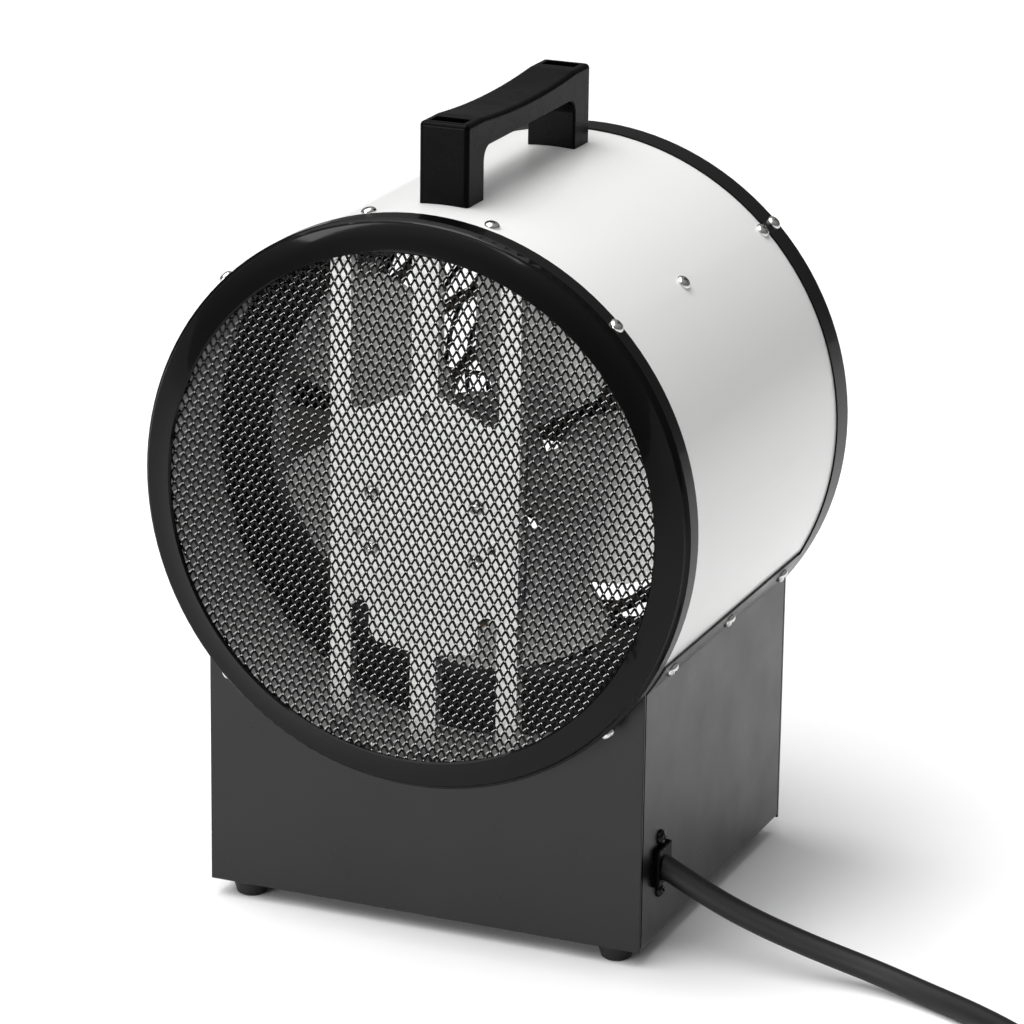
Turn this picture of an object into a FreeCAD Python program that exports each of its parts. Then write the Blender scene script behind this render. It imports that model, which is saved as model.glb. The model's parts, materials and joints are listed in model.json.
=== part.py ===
# Portable electric fan heater: a horizontal steel barrel on a folded sheet-steel base.
#
# Frame: +X to the right seen from the intake side, +Y along the air flow, +Z up.
# Each body is drawn about the barrel's own axis and then lifted to axis_height, so the
# floor is z = 0 and the origin lies under the middle of the casing.
import FreeCAD, Part
import math
import os
import re
import Sketcher
from FreeCAD import Placement, Rotation, Vector

doc = FreeCAD.newDocument("fan_heater")
sheet = doc.addObject("Spreadsheet::Sheet", "sizes")

casing = {
    "axis_height": 229.0,
    "half_length": 121.6,
    "barrel_radius": 144.0,
    "barrel_sheet": 0.8,
    "barrel_inset": 8.2,
    "ring_gap": 0.1,
    "ring_sheet": 0.9,
    "ring_face": 15.2,
    "ring_lip_depth": 2.2,
    "ring_shoulder": 1.4,
    "ring_shoulder_depth": 4.4,
    "ring_corner_depth": 7.4,
    "intake_flange": 17.4,
    "outlet_flange": 23.0,
}
guards = {
    "mesh_overlap": 3.7,
    "mesh_sheet": 1.2,
    "mesh_pitch": 20.0,
    "mesh_rise": 35.0,
    "mesh_strand": 3.0,
    "guard_wire": 2.6,
    "guard_overlap": 4.2,
    "guard_first_ring": 24.0,
    "guard_ring_step": 12.0,
}
base = {
    "base_half_width": 118.0,
    "base_setback": 21.6,
    "control_setback": 19.0,
    "base_sheet": 1.2,
    "base_bend": 2.6,
    "panel_sheet": 1.5,
    "panel_gap": 0.9,
    "panel_return": 12.0,
    "panel_clearance": 0.3,
    "saddle_width": 18.1,
    "saddle_setback": 5.2,
    "foot_height": 9.0,
    "foot_radius": 9.5,
    "foot_tread_radius": 7.6,
    "foot_inset_side": 17.0,
    "foot_inset_end": 12.4,
}
handle = {
    "handle_width": 26.0,
    "handle_length": 157.0,
    "handle_middle": -2.0,
    "handle_height": 40.4,
    "handle_leg": 20.5,
    "handle_grip": 15.0,
    "handle_dip": 2.6,
    "handle_corner": 7.0,
    "handle_edge": 2.4,
    "handle_pocket_length": 9.0,
    "handle_pocket_width": 18.0,
    "handle_pocket_inset": 4.0,
    "handle_pocket_depth": 26.0,
}
drive = {
    "bracket_setback": 21.0,
    "bracket_sheet": 1.5,
    "bracket_half_width": 50.5,
    "bracket_arm": 11.0,
    "bracket_middle_arm": 14.0,
    "bracket_lobe": 29.5,
    "bracket_slot_top": 60.5,
    "bracket_lobe_depth": 19.0,
    "bracket_top": 53.3,
    "bracket_foot_depth": 14.0,
    "bracket_foot_half_angle": 21.0,
    "bracket_flange": 6.0,
    "bracket_screw_x": 32.4,
    "bracket_screw_setback": 5.0,
    "motor_screw_x": 28.0,
    "motor_screw_drop": 28.0,
    "motor_standoff": 8.1,
    "bearing_plate": 3.0,
    "bearing_boss": 8.0,
    "bearing_radius": 6.0,
    "stack_depth": 26.0,
    "stack_half_width": 39.0,
    "stack_top": 27.0,
    "stack_bottom": 62.0,
    "stack_bore": 24.5,
    "coil_window": 16.0,
    "coil_overhang": 10.0,
    "coil_clearance": 0.2,
    "spacer_radius": 5.0,
    "rotor_gap": 0.5,
    "shaft_radius": 4.0,
    "shaft_clearance": 0.05,
    "fan_setback": 93.0,
    "fan_tip_gap": 4.5,
    "fan_sheet": 1.2,
    "fan_disc_radius": 36.0,
    "fan_hub_radius": 13.0,
    "fan_hub_length": 18.0,
    "fan_start_angle": 138.7,
    "pitch_root": 24.0,
    "pitch_middle": 18.0,
    "pitch_tip": 12.5,
}
duct = {
    "shroud_setback": 85.6,
    "shroud_sheet": 1.0,
    "shroud_width": 30.0,
    "shroud_throat_length": 22.0,
    "shroud_rim_length": 24.0,
    "liner_gap": 12.0,
    "liner_sheet": 0.6,
    "liner_setback": 13.6,
    "low_screw_angle": 67.0,
    "port_half_width": 44.0,
    "port_half_length": 9.0,
    "heater_setback": 86.6,
    "heater_tube": 3.25,
    "heater_bend": 12.0,
    "heater_leg_drop": 14.0,
    "heater_margin": 40.0,
    "heater_step": 28.0,
    "heater_first_leg": 10.0,
    "heater_leg_step": 12.0,
    "heater_bar_width": 14.0,
    "heater_bar_sheet": 1.5,
    "cutout_radius": 8.5,
    "cutout_height": 9.0,
    "terminal_height": 19.0,
    "terminal_half_depth": 11.0,
}
controls = {
    "control_rise": 37.5,
    "control_spread": 55.0,
    "knob_radius": 19.0,
    "knob_height": 17.5,
    "knob_bar": 5.5,
    "knob_gap": 0.5,
    "spindle_radius": 3.0,
    "spindle_clearance": 0.05,
    "spindle_depth": 14.0,
    "panel_hole": 5.5,
    "switch_half_width": 16.0,
    "switch_depth": 30.0,
    "thermostat_radius": 20.0,
}
cable = {
    "cord_radius": 6.0,
    "gland_inset": 25.4,
    "gland_height": 48.0,
    "gland_width": 18.0,
    "gland_tall": 20.0,
    "gland_proud": 3.2,
    "gland_inner": 8.0,
    "gland_screw_pitch": 28.0,
    "coil_center_x": 317.0,
    "coil_center_y": -228.0,
    "coil_mean": 71.0,
    "plug_radius": 19.0,
    "plug_length": 35.0,
    "plug_pin_radius": 2.4,
    "plug_pin_length": 19.0,
}
screws = {
    "screw_radius": 2.0,
    "screw_hole": 2.2,
    "screw_head_radius": 4.0,
    "screw_head_height": 2.6,
}

row = 0
for group in (casing, guards, base, handle, drive, duct, controls, cable, screws):
    for name, size in group.items():
        row += 1
        sheet.set("A%d" % row, name)
        sheet.set("B%d" % row, str(size))
        sheet.setAlias("B%d" % row, name)
doc.recompute()

nodes = []
# Sizes that follow from the ones above.
derived = {
    "ring_opening": "barrel_radius - ring_face",
    "ring_shoulder_radius": "barrel_radius - ring_shoulder",
    "mesh_radius": "ring_opening + mesh_overlap",
    "guard_radius": "ring_opening + guard_overlap",
    "base_front": "base_setback - half_length",
    "base_depth": "2 * half_length - base_setback - control_setback",
    "saddle_far_end": "half_length - control_setback - saddle_setback",
    "saddle_start": "acos(base_half_width / (barrel_radius + ring_gap + base_sheet)) / 1deg",
    "saddle_angle": "saddle_start - saddle_width / barrel_radius * 180 / pi",
    "saddle_screw_angle": "saddle_start - saddle_width / barrel_radius * 105 / pi",
    "handle_top": "barrel_radius + handle_height",
    "bracket_front": "bracket_setback - half_length",
    "fan_plane": "fan_setback - half_length",
    "fan_radius": "shroud_throat - fan_tip_gap",
    "shroud_front": "shroud_setback - half_length",
    "shroud_throat": "barrel_radius - shroud_width",
    "shroud_screw_row": "shroud_front + 0.725 * shroud_rim_length",
    "liner_radius": "barrel_radius - liner_gap",
    "liner_end": "half_length - liner_setback",
    "liner_screw_row": "half_length - 2 * liner_setback",
    "heater_plane": "half_length - heater_setback",
    "heater_inner": "barrel_radius - heater_margin - 2 * heater_step",
    "heater_leg_end": "barrel_radius + heater_leg_drop",
    "control_height": "control_rise + foot_height - axis_height",
    "gland_side": "base_front + gland_inset",
}


def bind(text):
    """Turn plain size names into references to the sheet."""
    def reference(match):
        name = match.group(0)
        return "(%s)" % bind(derived[name]) if name in derived else "sizes." + name

    return re.sub(r"\b[a-z]+(?:_[a-z]+)+\b", reference, str(text))


def value(text):
    return float(sheet.evalExpression(bind(text)))


def keep(item, name):
    item.Label = name
    nodes.append(item)
    return item


def lift(item, x="0", y="0", z="axis_height"):
    item.setExpression("Placement.Base.x", bind(x))
    item.setExpression("Placement.Base.y", bind(y))
    item.setExpression("Placement.Base.z", bind(z))
    return item


def new_body(name, x="0", y="0", z="axis_height"):
    body = doc.addObject("PartDesign::Body", name)
    return lift(keep(body, name), x, y, z)


def new_sketch(body, plane, offset="0"):
    sketch = body.newObject("Sketcher::SketchObject", "outline")
    role = plane + "_Plane"
    support = [item for item in body.Origin.OriginFeatures if item.Role == role][0]
    sketch.AttachmentSupport = [(support, "")]
    sketch.MapMode = "FlatFace"
    sketch.setExpression("AttachmentOffset.Base.z", bind(offset))
    return sketch


def add_outline(sketch, points):
    """A closed outline. A point is (x, y) or (x, y, radius): with a radius, an arc runs
    from it to the next point, turning left where the radius is positive."""
    spots = [Vector(value(p[0]), value(p[1]), 0) for p in points]
    count = len(points)
    edges = []
    for i in range(count):
        start = spots[i]
        end = spots[(i + 1) % count]
        if len(points[i]) == 2:
            edges.append(sketch.addGeometry(Part.LineSegment(start, end), False))
            continue
        radius = value(points[i][2])
        chord = end - start
        sag = abs(radius) - math.sqrt(radius ** 2 - chord.Length ** 2 / 4)
        across = Vector(chord.y, -chord.x, 0).normalize()
        middle = (start + end) * 0.5 + across * math.copysign(sag, radius)
        edges.append(sketch.addGeometry(Part.Arc(start, middle, end), False))

    def corner(edge, spot):
        gap = [(sketch.getPoint(edge, side) - spot).Length for side in (1, 2)]
        return 1 if gap[0] < gap[1] else 2

    joined = [(edges[i], corner(edges[i], spots[i])) for i in range(count)]
    for i in range(count):
        last = edges[i - 1]
        sketch.addConstraint(Sketcher.Constraint("Coincident", last, corner(last, spots[i]), *joined[i]))
        for kind, text in (("DistanceX", points[i][0]), ("DistanceY", points[i][1])):
            item = sketch.addConstraint(Sketcher.Constraint(kind, -1, 1, *joined[i], value(text)))
            sketch.setExpression("Constraints[%d]" % item, bind(text))
        if len(points[i]) == 3:
            size = abs(value(points[i][2]))
            item = sketch.addConstraint(Sketcher.Constraint("Radius", edges[i], size))
            sketch.setExpression("Constraints[%d]" % item, bind("abs(%s)" % points[i][2]))
    return sketch


def add_circle(sketch, x, y, radius):
    circle = Part.Circle(Vector(value(x), value(y), 0), Vector(0, 0, 1), value(radius))
    edge = sketch.addGeometry(circle, False)
    for kind, text in (("DistanceX", x), ("DistanceY", y)):
        item = sketch.addConstraint(Sketcher.Constraint(kind, -1, 1, edge, 3, value(text)))
        sketch.setExpression("Constraints[%d]" % item, bind(text))
    item = sketch.addConstraint(Sketcher.Constraint("Radius", edge, value(radius)))
    sketch.setExpression("Constraints[%d]" % item, bind(radius))
    return sketch


def add_box(sketch, left, right, low, high):
    return add_outline(sketch, [(left, low), (right, low), (right, high), (left, high)])


def pad(body, sketch, length, reverse=False, middle=False):
    feature = body.newObject("PartDesign::Pad", "pad")
    feature.Profile = sketch
    feature.Reversed = reverse
    if middle:
        feature.SideType = "Symmetric"
    feature.setExpression("Length", bind(length))
    doc.recompute()
    return feature


def pocket(body, sketch, length=None, reverse=False, middle=False):
    before = body.Shape.Volume
    feature = body.newObject("PartDesign::Pocket", "pocket")
    feature.Profile = sketch
    feature.Reversed = reverse
    if middle:
        feature.SideType = "Symmetric"
    if length is None:
        feature.Type = "ThroughAll"
    else:
        feature.setExpression("Length", bind(length))
    doc.recompute()
    if body.Shape.Volume >= before:
        raise RuntimeError("a pocket cuts nothing in " + body.Label)
    return feature


def revolve(body, sketch, axis="H_Axis"):
    feature = body.newObject("PartDesign::Revolution", "turned")
    feature.Profile = sketch
    feature.ReferenceAxis = (sketch, [axis])
    feature.Angle = 360
    doc.recompute()
    return feature


def polar(body, features, count, role="Y_Axis"):
    pattern = body.newObject("PartDesign::PolarPattern", "pattern")
    axis = [item for item in body.Origin.OriginFeatures if item.Role == role][0]
    pattern.Originals = features
    pattern.Axis = (axis, [""])
    pattern.Angle = 360
    pattern.Occurrences = count
    body.Tip = pattern
    doc.recompute()
    return pattern


def radial_hole(body, angle, y, radius="screw_hole"):
    """A hole through one wall of a shell round the barrel's axis, at the angle from +X
    towards +Z."""
    sketch = new_sketch(body, "XY", "0")
    turn = "90 - (%s)" % angle
    sketch.AttachmentOffset = Placement(Vector(), Rotation(Vector(0, 1, 0), value(turn)))
    sketch.setExpression("AttachmentOffset.Rotation.Angle", bind(turn))
    add_circle(sketch, "0", y, radius)
    return pocket(body, sketch, reverse=True)


def fillet(body, chosen, radius):
    """Round the edges of the body's tip for which chosen(edge) is true."""
    tip = body.Tip
    names = ["Edge%d" % (i + 1) for i, edge in enumerate(tip.Shape.Edges) if chosen(edge)]
    feature = body.newObject("PartDesign::Fillet", "rounded")
    feature.Base = (tip, names)
    feature.setExpression("Radius", bind(radius))
    doc.recompute()
    return feature


def feature(name, shape, z="axis_height"):
    item = doc.addObject("Part::Feature", name)
    item.Shape = shape
    return lift(keep(item, name), z=z)


# Casing: the barrel, its two end rings and what closes them.
barrel = new_body("barrel_shell")
tube = new_sketch(barrel, "XZ")
add_circle(tube, "0", "0", "barrel_radius")
add_circle(tube, "0", "0", "barrel_radius - barrel_sheet")
pad(barrel, tube, "2 * (half_length - barrel_inset)", middle=True)
ring_screw_front = "-half_length + (intake_flange + ring_corner_depth) / 2"
ring_screw_back = "half_length - ring_corner_depth - screw_head_radius - 0.8"
quarters = [radial_hole(barrel, "45", y) for y in (ring_screw_front, ring_screw_back)]
polar(barrel, quarters, 4)
# The duct's screws: two in sight above, two hidden in the base.
duct_angles = ("45", "135", "-low_screw_angle", "180 + low_screw_angle")
for angle in duct_angles:
    for y in ("shroud_screw_row", "liner_screw_row"):
        radial_hole(barrel, angle, y)
bracket_screw_y = "bracket_front + bracket_screw_setback"
bracket_screw_angle = "acos(bracket_screw_x / barrel_radius) / 1deg"
bracket_fixings = [(sign + "(%s)" % angle, bracket_screw_y + shift)
                   for sign, shift in (("", ""), ("-", " + screw_head_radius"))
                   for angle in (bracket_screw_angle, "180 - " + bracket_screw_angle)]
for angle, y in bracket_fixings:
    radial_hole(barrel, angle, y)
handle_screw_rows = ["handle_middle %s (handle_length / 2 - handle_pocket_inset - handle_pocket_length / 2)" % sign
                     for sign in "-+"]
for y in handle_screw_rows:
    radial_hole(barrel, "90", y)
saddle_length = "saddle_far_end - base_front - panel_sheet - panel_gap"
saddle_rows = ["base_front + panel_sheet + panel_gap + (%s) * %s" % (saddle_length, share)
               for share in (0.09, 0.5, 0.9)]
for y in saddle_rows:
    radial_hole(barrel, "-saddle_screw_angle", y)
    radial_hole(barrel, "180 + saddle_screw_angle", y)
# The heater's cold ends drop through this port into the base.
port = new_sketch(barrel, "XY")
add_box(port, "-port_half_width", "port_half_width", "heater_plane - port_half_length",
        "heater_plane + port_half_length")
pocket(barrel, port)


def end_ring(name, side, flange):
    """A spun ring: cylindrical flange, crowned face and a lip turned back at the opening."""
    body = new_body(name)
    profile = new_sketch(body, "YZ")
    inner = "barrel_radius + ring_gap"
    outer = inner + " + ring_sheet"

    def at(depth, radius, *arc):
        return ("%s * (half_length - (%s))" % (side, depth), radius) + arc

    crown = "%s * 60" % side
    points = [
        at("ring_lip_depth", "ring_opening"),
        at("0.8", "ring_opening"),
        at("0", "ring_opening + 0.8", "-(%s)" % crown),
        at("ring_shoulder_depth", "ring_shoulder_radius", "-%s * 3.6" % side),
        at("ring_corner_depth", outer),
        at(flange, outer),
        at(flange, inner),
        at("ring_corner_depth", inner),
        at("ring_shoulder_depth + 0.8", "ring_shoulder_radius - 0.4"),
        at("ring_sheet", "ring_opening + ring_sheet"),
        at("ring_lip_depth", "ring_opening + ring_sheet"),
    ]
    add_outline(profile, points)
    revolve(body, profile)
    screw_row = ring_screw_front if side < 0 else ring_screw_back
    polar(body, [radial_hole(body, "45", screw_row)], 4)
    return body


end_ring("intake_ring", -1, "intake_flange")
end_ring("outlet_ring", 1, "outlet_flange")


def expanded_mesh():
    """A disc of expanded metal: rows of diamonds, every second row set half a pitch over."""
    radius = value("mesh_radius")
    pitch = value("mesh_pitch")
    rise = value("mesh_rise")
    half_x = (pitch - value("mesh_strand")) / 2
    half_z = half_x * rise / pitch
    face = -value("half_length - ring_lip_depth") + 0.2
    wires = [Part.Wire(Part.makeCircle(radius, Vector(0, face, 0), Vector(0, 1, 0)))]
    rows = int(radius / rise * 2) + 1
    columns = int(radius / pitch) + 1
    for j in range(-rows, rows + 1):
        for i in range(-columns, columns + 1):
            x = (i + (j % 2) / 2) * pitch
            z = j * rise / 2
            if math.hypot(abs(x) + half_x * 0.5, abs(z) + half_z * 0.8) > radius - 4.5:
                continue
            tips = [Vector(x - half_x, face, z), Vector(x, face, z + half_z),
                    Vector(x + half_x, face, z), Vector(x, face, z - half_z)]
            wires.append(Part.makePolygon(tips + tips[:1]))
    sheet_face = Part.Face(wires, "Part::FaceMakerBullseye")
    return sheet_face.extrude(Vector(0, value("mesh_sheet"), 0))


feature("intake_mesh", expanded_mesh())


def outlet_guard():
    """Concentric wires welded to a cross of radial wires behind them."""
    wire = value("guard_wire")
    outer = value("guard_radius")
    front = value("half_length - ring_lip_depth") - 0.2
    span = outer - wire / 2
    parts = []
    radius = value("guard_first_ring")
    while radius < span - value("guard_ring_step") / 2:
        parts.append(square_ring(radius, front, wire))
        radius += value("guard_ring_step")
    parts.append(square_ring(span, front, wire))
    first = value("guard_first_ring")
    for angle in (0, 60, 120, 180, 240, 300):
        spoke = Part.makeBox(span - first, wire, wire, Vector(first, front - 1.9 * wire, -wire / 2))
        parts.append(spoke.rotate(Vector(), Vector(0, 1, 0), angle))
    disc = Part.makeCylinder(first, 1.5, Vector(0, front - wire, 0), Vector(0, 1, 0))
    return disc.fuse(parts).removeSplitter()


def square_ring(radius, front, wire):
    outer = Part.makeCylinder(radius + wire / 2, wire, Vector(0, front - wire, 0), Vector(0, 1, 0))
    inner = Part.makeCylinder(radius - wire / 2, wire, Vector(0, front - wire, 0), Vector(0, 1, 0))
    return outer.cut(inner)


feature("outlet_guard", outlet_guard())

# Base: a folded tray whose sides end in flanges that cradle the barrel, and two end panels.
bottom = "foot_height - axis_height"
saddle = "barrel_radius + ring_gap"
saddle_out = "barrel_radius + ring_gap + base_sheet"
wall = "base_half_width"
wall_in = "base_half_width - base_sheet"


def saddle_outline():
    """The tray's section, from the right flange round the bottom to the left one."""
    tip_cos = "cos(saddle_angle * 1deg)"
    tip_sin = "sin(saddle_angle * 1deg)"
    bend = "base_bend"
    bend_in = "base_bend - base_sheet"
    right = [
        ("(%s) * %s" % (saddle, tip_cos), "-(%s) * %s" % (saddle, tip_sin)),
        ("(%s) * %s" % (saddle_out, tip_cos), "-(%s) * %s" % (saddle_out, tip_sin), "-(%s)" % saddle_out),
        (wall, "-sqrt((%s)^2 - (%s)^2)" % (saddle_out, wall)),
        (wall, "%s + %s" % (bottom, bend), "-(%s)" % bend),
        ("%s - %s" % (wall, bend), bottom),
    ]
    left = [
        ("-(%s - %s)" % (wall, bend), bottom, "-(%s)" % bend),
        ("-(%s)" % wall, "%s + %s" % (bottom, bend)),
        ("-(%s)" % wall, "-sqrt((%s)^2 - (%s)^2)" % (saddle_out, wall), "-(%s)" % saddle_out),
        ("-(%s) * %s" % (saddle_out, tip_cos), "-(%s) * %s" % (saddle_out, tip_sin)),
        ("-(%s) * %s" % (saddle, tip_cos), "-(%s) * %s" % (saddle, tip_sin), saddle),
    ]
    inside = [
        ("-(%s)" % wall_in, "-sqrt((%s)^2 - (%s)^2)" % (saddle, wall_in)),
        ("-(%s)" % wall_in, "%s + %s" % (bottom, bend), bend_in),
        ("-(%s - %s)" % (wall, bend), "%s + base_sheet" % bottom),
        ("%s - %s" % (wall, bend), "%s + base_sheet" % bottom, bend_in),
        (wall_in, "%s + %s" % (bottom, bend)),
        (wall_in, "-sqrt((%s)^2 - (%s)^2)" % (saddle, wall_in), saddle),
    ]
    return right + left + inside


tray = new_body("base_tray")
tray_front = "base_front + panel_sheet + panel_gap"
tray_length = "base_depth - 2 * (panel_sheet + panel_gap)"
section = new_sketch(tray, "XZ", "-(%s)" % tray_front)
add_outline(section, saddle_outline())
pad(tray, section, tray_length, reverse=True)
# The flanges stop short of the outlet ring.
notch = new_sketch(tray, "XZ", "-saddle_far_end")
for side in (("base_half_width + 0.01", "barrel_radius"), ("-barrel_radius", "-base_half_width - 0.01")):
    add_box(notch, side[0], side[1], "-base_half_width", "0")
pocket(tray, notch)
clearing = new_sketch(tray, "XZ", "-saddle_far_end")
add_circle(clearing, "0", "0", "barrel_radius + ring_gap + ring_sheet + panel_clearance")
pocket(tray, clearing)
for y in saddle_rows:
    radial_hole(tray, "-saddle_screw_angle", y)
    radial_hole(tray, "180 + saddle_screw_angle", y)
gland_z = "gland_height - axis_height"
entry = new_sketch(tray, "YZ")
add_box(entry, "gland_side - gland_width / 2 - panel_clearance", "gland_side + gland_width / 2 + panel_clearance",
        "%s - gland_tall / 2 - panel_clearance" % gland_z, "%s + gland_tall / 2 + panel_clearance" % gland_z)
for sign in "-+":
    add_circle(entry, "gland_side", "%s %s gland_screw_pitch / 2" % (gland_z, sign), "screw_hole")
pocket(tray, entry, reverse=True)
foot_x = "base_half_width - foot_inset_side"
foot_front = "base_front + foot_inset_end"
foot_back = "base_front + base_depth - foot_inset_end"
panel_screw_columns = ("base_half_width * 0.6", "-base_half_width * 0.6")
panel_screw_rows = ("base_front + panel_sheet + panel_return * 0.6",
                    "base_front + base_depth - panel_sheet - panel_return * 0.6")
under = new_sketch(tray, "XY", bottom)
for x in (foot_x, "-(%s)" % foot_x):
    for y in (foot_front, foot_back):
        add_circle(under, x, y, "screw_hole")
for x in panel_screw_columns:
    for y in panel_screw_rows:
        add_circle(under, x, y, "screw_hole")
pocket(tray, under, "base_bend", reverse=True)


def end_panel(name, front, around, towards_air):
    """A flat panel cut round the barrel, with a return inside each wall of the tray."""
    body = new_body(name)
    edge = around + " + panel_clearance"
    plate = new_sketch(body, "XZ", "-(%s)" % front)
    high = "-sqrt((%s)^2 - base_half_width^2)" % edge
    add_outline(plate, [("-base_half_width", bottom), ("base_half_width", bottom),
                        ("base_half_width", high, "-(%s)" % edge), ("-base_half_width", high)])
    pad(body, plate, "panel_sheet", reverse=not towards_air)
    back = "(%s) %s panel_sheet" % (front, "-" if towards_air else "+")
    side = new_sketch(body, "XZ", "-(%s)" % back)
    inner = "base_half_width - base_sheet - panel_clearance"
    low = "%s + base_bend + panel_clearance" % bottom
    add_box(side, "%s - panel_sheet" % inner, inner, low, "-base_half_width")
    add_box(side, "-(%s)" % inner, "-(%s - panel_sheet)" % inner, low, "-base_half_width")
    add_box(side, "-(%s - 2 * panel_return)" % inner, "%s - 2 * panel_return" % inner,
            "%s + base_sheet" % bottom, "%s + base_sheet + panel_sheet" % bottom)
    pad(body, side, "panel_return", reverse=not towards_air)
    return body


intake = end_panel("intake_panel", "base_front", "barrel_radius", False)
control = end_panel("control_panel", "base_front + base_depth", "barrel_radius + ring_gap + ring_sheet", True)
for panel, y in zip((intake, control), panel_screw_rows):
    fixing = new_sketch(panel, "XY", bottom)
    for x in panel_screw_columns:
        add_circle(fixing, x, y, "screw_hole")
    pocket(panel, fixing, "base_bend + panel_sheet", reverse=True)
panel_face = "base_front + base_depth"
openings = new_sketch(control, "XZ", "-(%s)" % panel_face)
for sign in "-+":
    add_circle(openings, "0 %s control_spread" % sign, "control_height", "panel_hole")
pocket(control, openings, "panel_sheet * 3", middle=True)

# Feet: turned rubber buffers, each held by a countersunk-in screw from below.
for side, x in (("right", foot_x), ("left", "-(%s)" % foot_x)):
    for end, y in (("front", foot_front), ("back", foot_back)):
        foot = new_body("foot_%s_%s" % (end, side), x, y, "0")
        half = new_sketch(foot, "XZ")
        add_outline(half, [
            ("screw_head_radius + 0.4", "0"),
            ("foot_tread_radius - 1.2", "0"),
            ("foot_tread_radius", "0.9"),
            ("foot_radius", "foot_height - 1.5"),
            ("foot_radius - 0.6", "foot_height"),
            ("screw_hole", "foot_height"),
            ("screw_hole", "foot_height / 2"),
            ("screw_head_radius + 0.4", "foot_height / 2"),
        ])
        revolve(foot, half, "V_Axis")

# Handle: one moulding, a bar on two legs shaped to the barrel.
grip = new_body("handle")
start = "handle_middle - handle_length / 2"
end = "handle_middle + handle_length / 2"
side_view = new_sketch(grip, "YZ")
dip_radius = "((handle_length / 2 - handle_leg)^2 / (2 * handle_dip) + handle_dip / 2)"
add_outline(side_view, [
    (start, "barrel_radius * 0.98"),
    (end, "barrel_radius * 0.98"),
    (end, "handle_top"),
    ("(%s) - handle_leg" % end, "handle_top", "-" + dip_radius),
    ("(%s) + handle_leg" % start, "handle_top"),
    (start, "handle_top"),
])
pad(grip, side_view, "handle_width", middle=True)
window = new_sketch(grip, "YZ")
under_grip = "handle_top - handle_grip"
add_outline(window, [
    ("(%s) + handle_leg" % start, "barrel_radius * 0.9"),
    ("(%s) - handle_leg" % end, "barrel_radius * 0.9"),
    ("(%s) - handle_leg" % end, "%s - handle_corner" % under_grip, "handle_corner"),
    ("(%s) - handle_leg - handle_corner" % end, under_grip),
    ("(%s) + handle_leg + handle_corner" % start, under_grip, "handle_corner"),
    ("(%s) + handle_leg" % start, "%s - handle_corner" % under_grip),
])
pocket(grip, window, middle=True)


def rounded_on_grip(edge):
    box = edge.BoundBox
    high = box.ZMin > value("handle_top - handle_dip") - 0.5
    upright = box.ZLength > 10 and box.YLength < 0.1 and abs(box.YMin - value("handle_middle")) > value(
        "handle_length / 2") - 1
    return high and box.ZMax <= value("handle_top") + 0.1 and box.YLength + box.XLength > 10 or upright


fillet(grip, rounded_on_grip, "handle_edge")
fillet(grip, lambda edge: abs(abs(edge.BoundBox.XMin) - value("handle_width / 2")) < 0.01
       and edge.BoundBox.XLength < 0.01
       and edge.BoundBox.ZMax < value(under_grip) + 0.01
       and edge.BoundBox.ZMin > value("barrel_radius * 0.97")
       and abs(edge.BoundBox.Center.y - value("handle_middle")) < value("handle_length / 2 - handle_leg") + 0.01,
       "handle_edge / 2")
seat = new_sketch(grip, "XZ")
add_circle(seat, "0", "0", "barrel_radius + ring_gap")
pocket(grip, seat, middle=True)
for y in handle_screw_rows:
    well = new_sketch(grip, "XY", "handle_top")
    add_box(well, "-handle_pocket_width / 2", "handle_pocket_width / 2",
            "%s - handle_pocket_length / 2" % y, "%s + handle_pocket_length / 2" % y)
    pocket(grip, well, "handle_pocket_depth")
    bore = new_sketch(grip, "XY", "handle_top")
    add_circle(bore, "0", y, "screw_hole")
    pocket(grip, bore)

# Motor bracket: one pressed plate on three arms that span the barrel.
hanger = new_body("motor_bracket")
inside = "barrel_radius - barrel_sheet - ring_gap"
plate = new_sketch(hanger, "XZ", "-bracket_front")
edge_x = "bracket_half_width"
arm_x = "bracket_half_width - bracket_arm"
slot = "bracket_half_width - bracket_arm - bracket_lobe"
add_outline(plate, [
    ("-%s" % edge_x, "-bracket_slot_top"),
    ("-(%s)" % arm_x, "-bracket_slot_top", "-(%s) / 2 * 1.02" % slot),
    ("-bracket_lobe", "-bracket_slot_top"),
    ("-bracket_lobe", "-bracket_slot_top - 0.68 * bracket_lobe_depth"),
    ("-0.87 * bracket_lobe", "-bracket_slot_top - 0.87 * bracket_lobe_depth"),
    ("-0.3 * bracket_lobe", "-bracket_slot_top - bracket_lobe_depth"),
    ("0.3 * bracket_lobe", "-bracket_slot_top - bracket_lobe_depth"),
    ("0.87 * bracket_lobe", "-bracket_slot_top - 0.87 * bracket_lobe_depth"),
    ("bracket_lobe", "-bracket_slot_top - 0.68 * bracket_lobe_depth"),
    ("bracket_lobe", "-bracket_slot_top", "-(%s) / 2 * 1.02" % slot),
    (arm_x, "-bracket_slot_top"),
    (edge_x, "-bracket_slot_top"),
    (edge_x, "0.81 * bracket_top"),
    (arm_x, "0.81 * bracket_top"),
    ("0.88 * (%s)" % arm_x, "0.78 * bracket_top"),
    ("0.72 * (%s)" % arm_x, "0.83 * bracket_top"),
    ("0.41 * (%s)" % arm_x, "0.95 * bracket_top"),
    ("0.2 * (%s)" % arm_x, "bracket_top"),
    ("-0.2 * (%s)" % arm_x, "bracket_top"),
    ("-0.41 * (%s)" % arm_x, "0.95 * bracket_top"),
    ("-0.72 * (%s)" % arm_x, "0.83 * bracket_top"),
    ("-0.88 * (%s)" % arm_x, "0.78 * bracket_top"),
    ("-(%s)" % arm_x, "0.81 * bracket_top"),
    ("-%s" % edge_x, "0.81 * bracket_top"),
])
pad(hanger, plate, "bracket_sheet", reverse=True)
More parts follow.
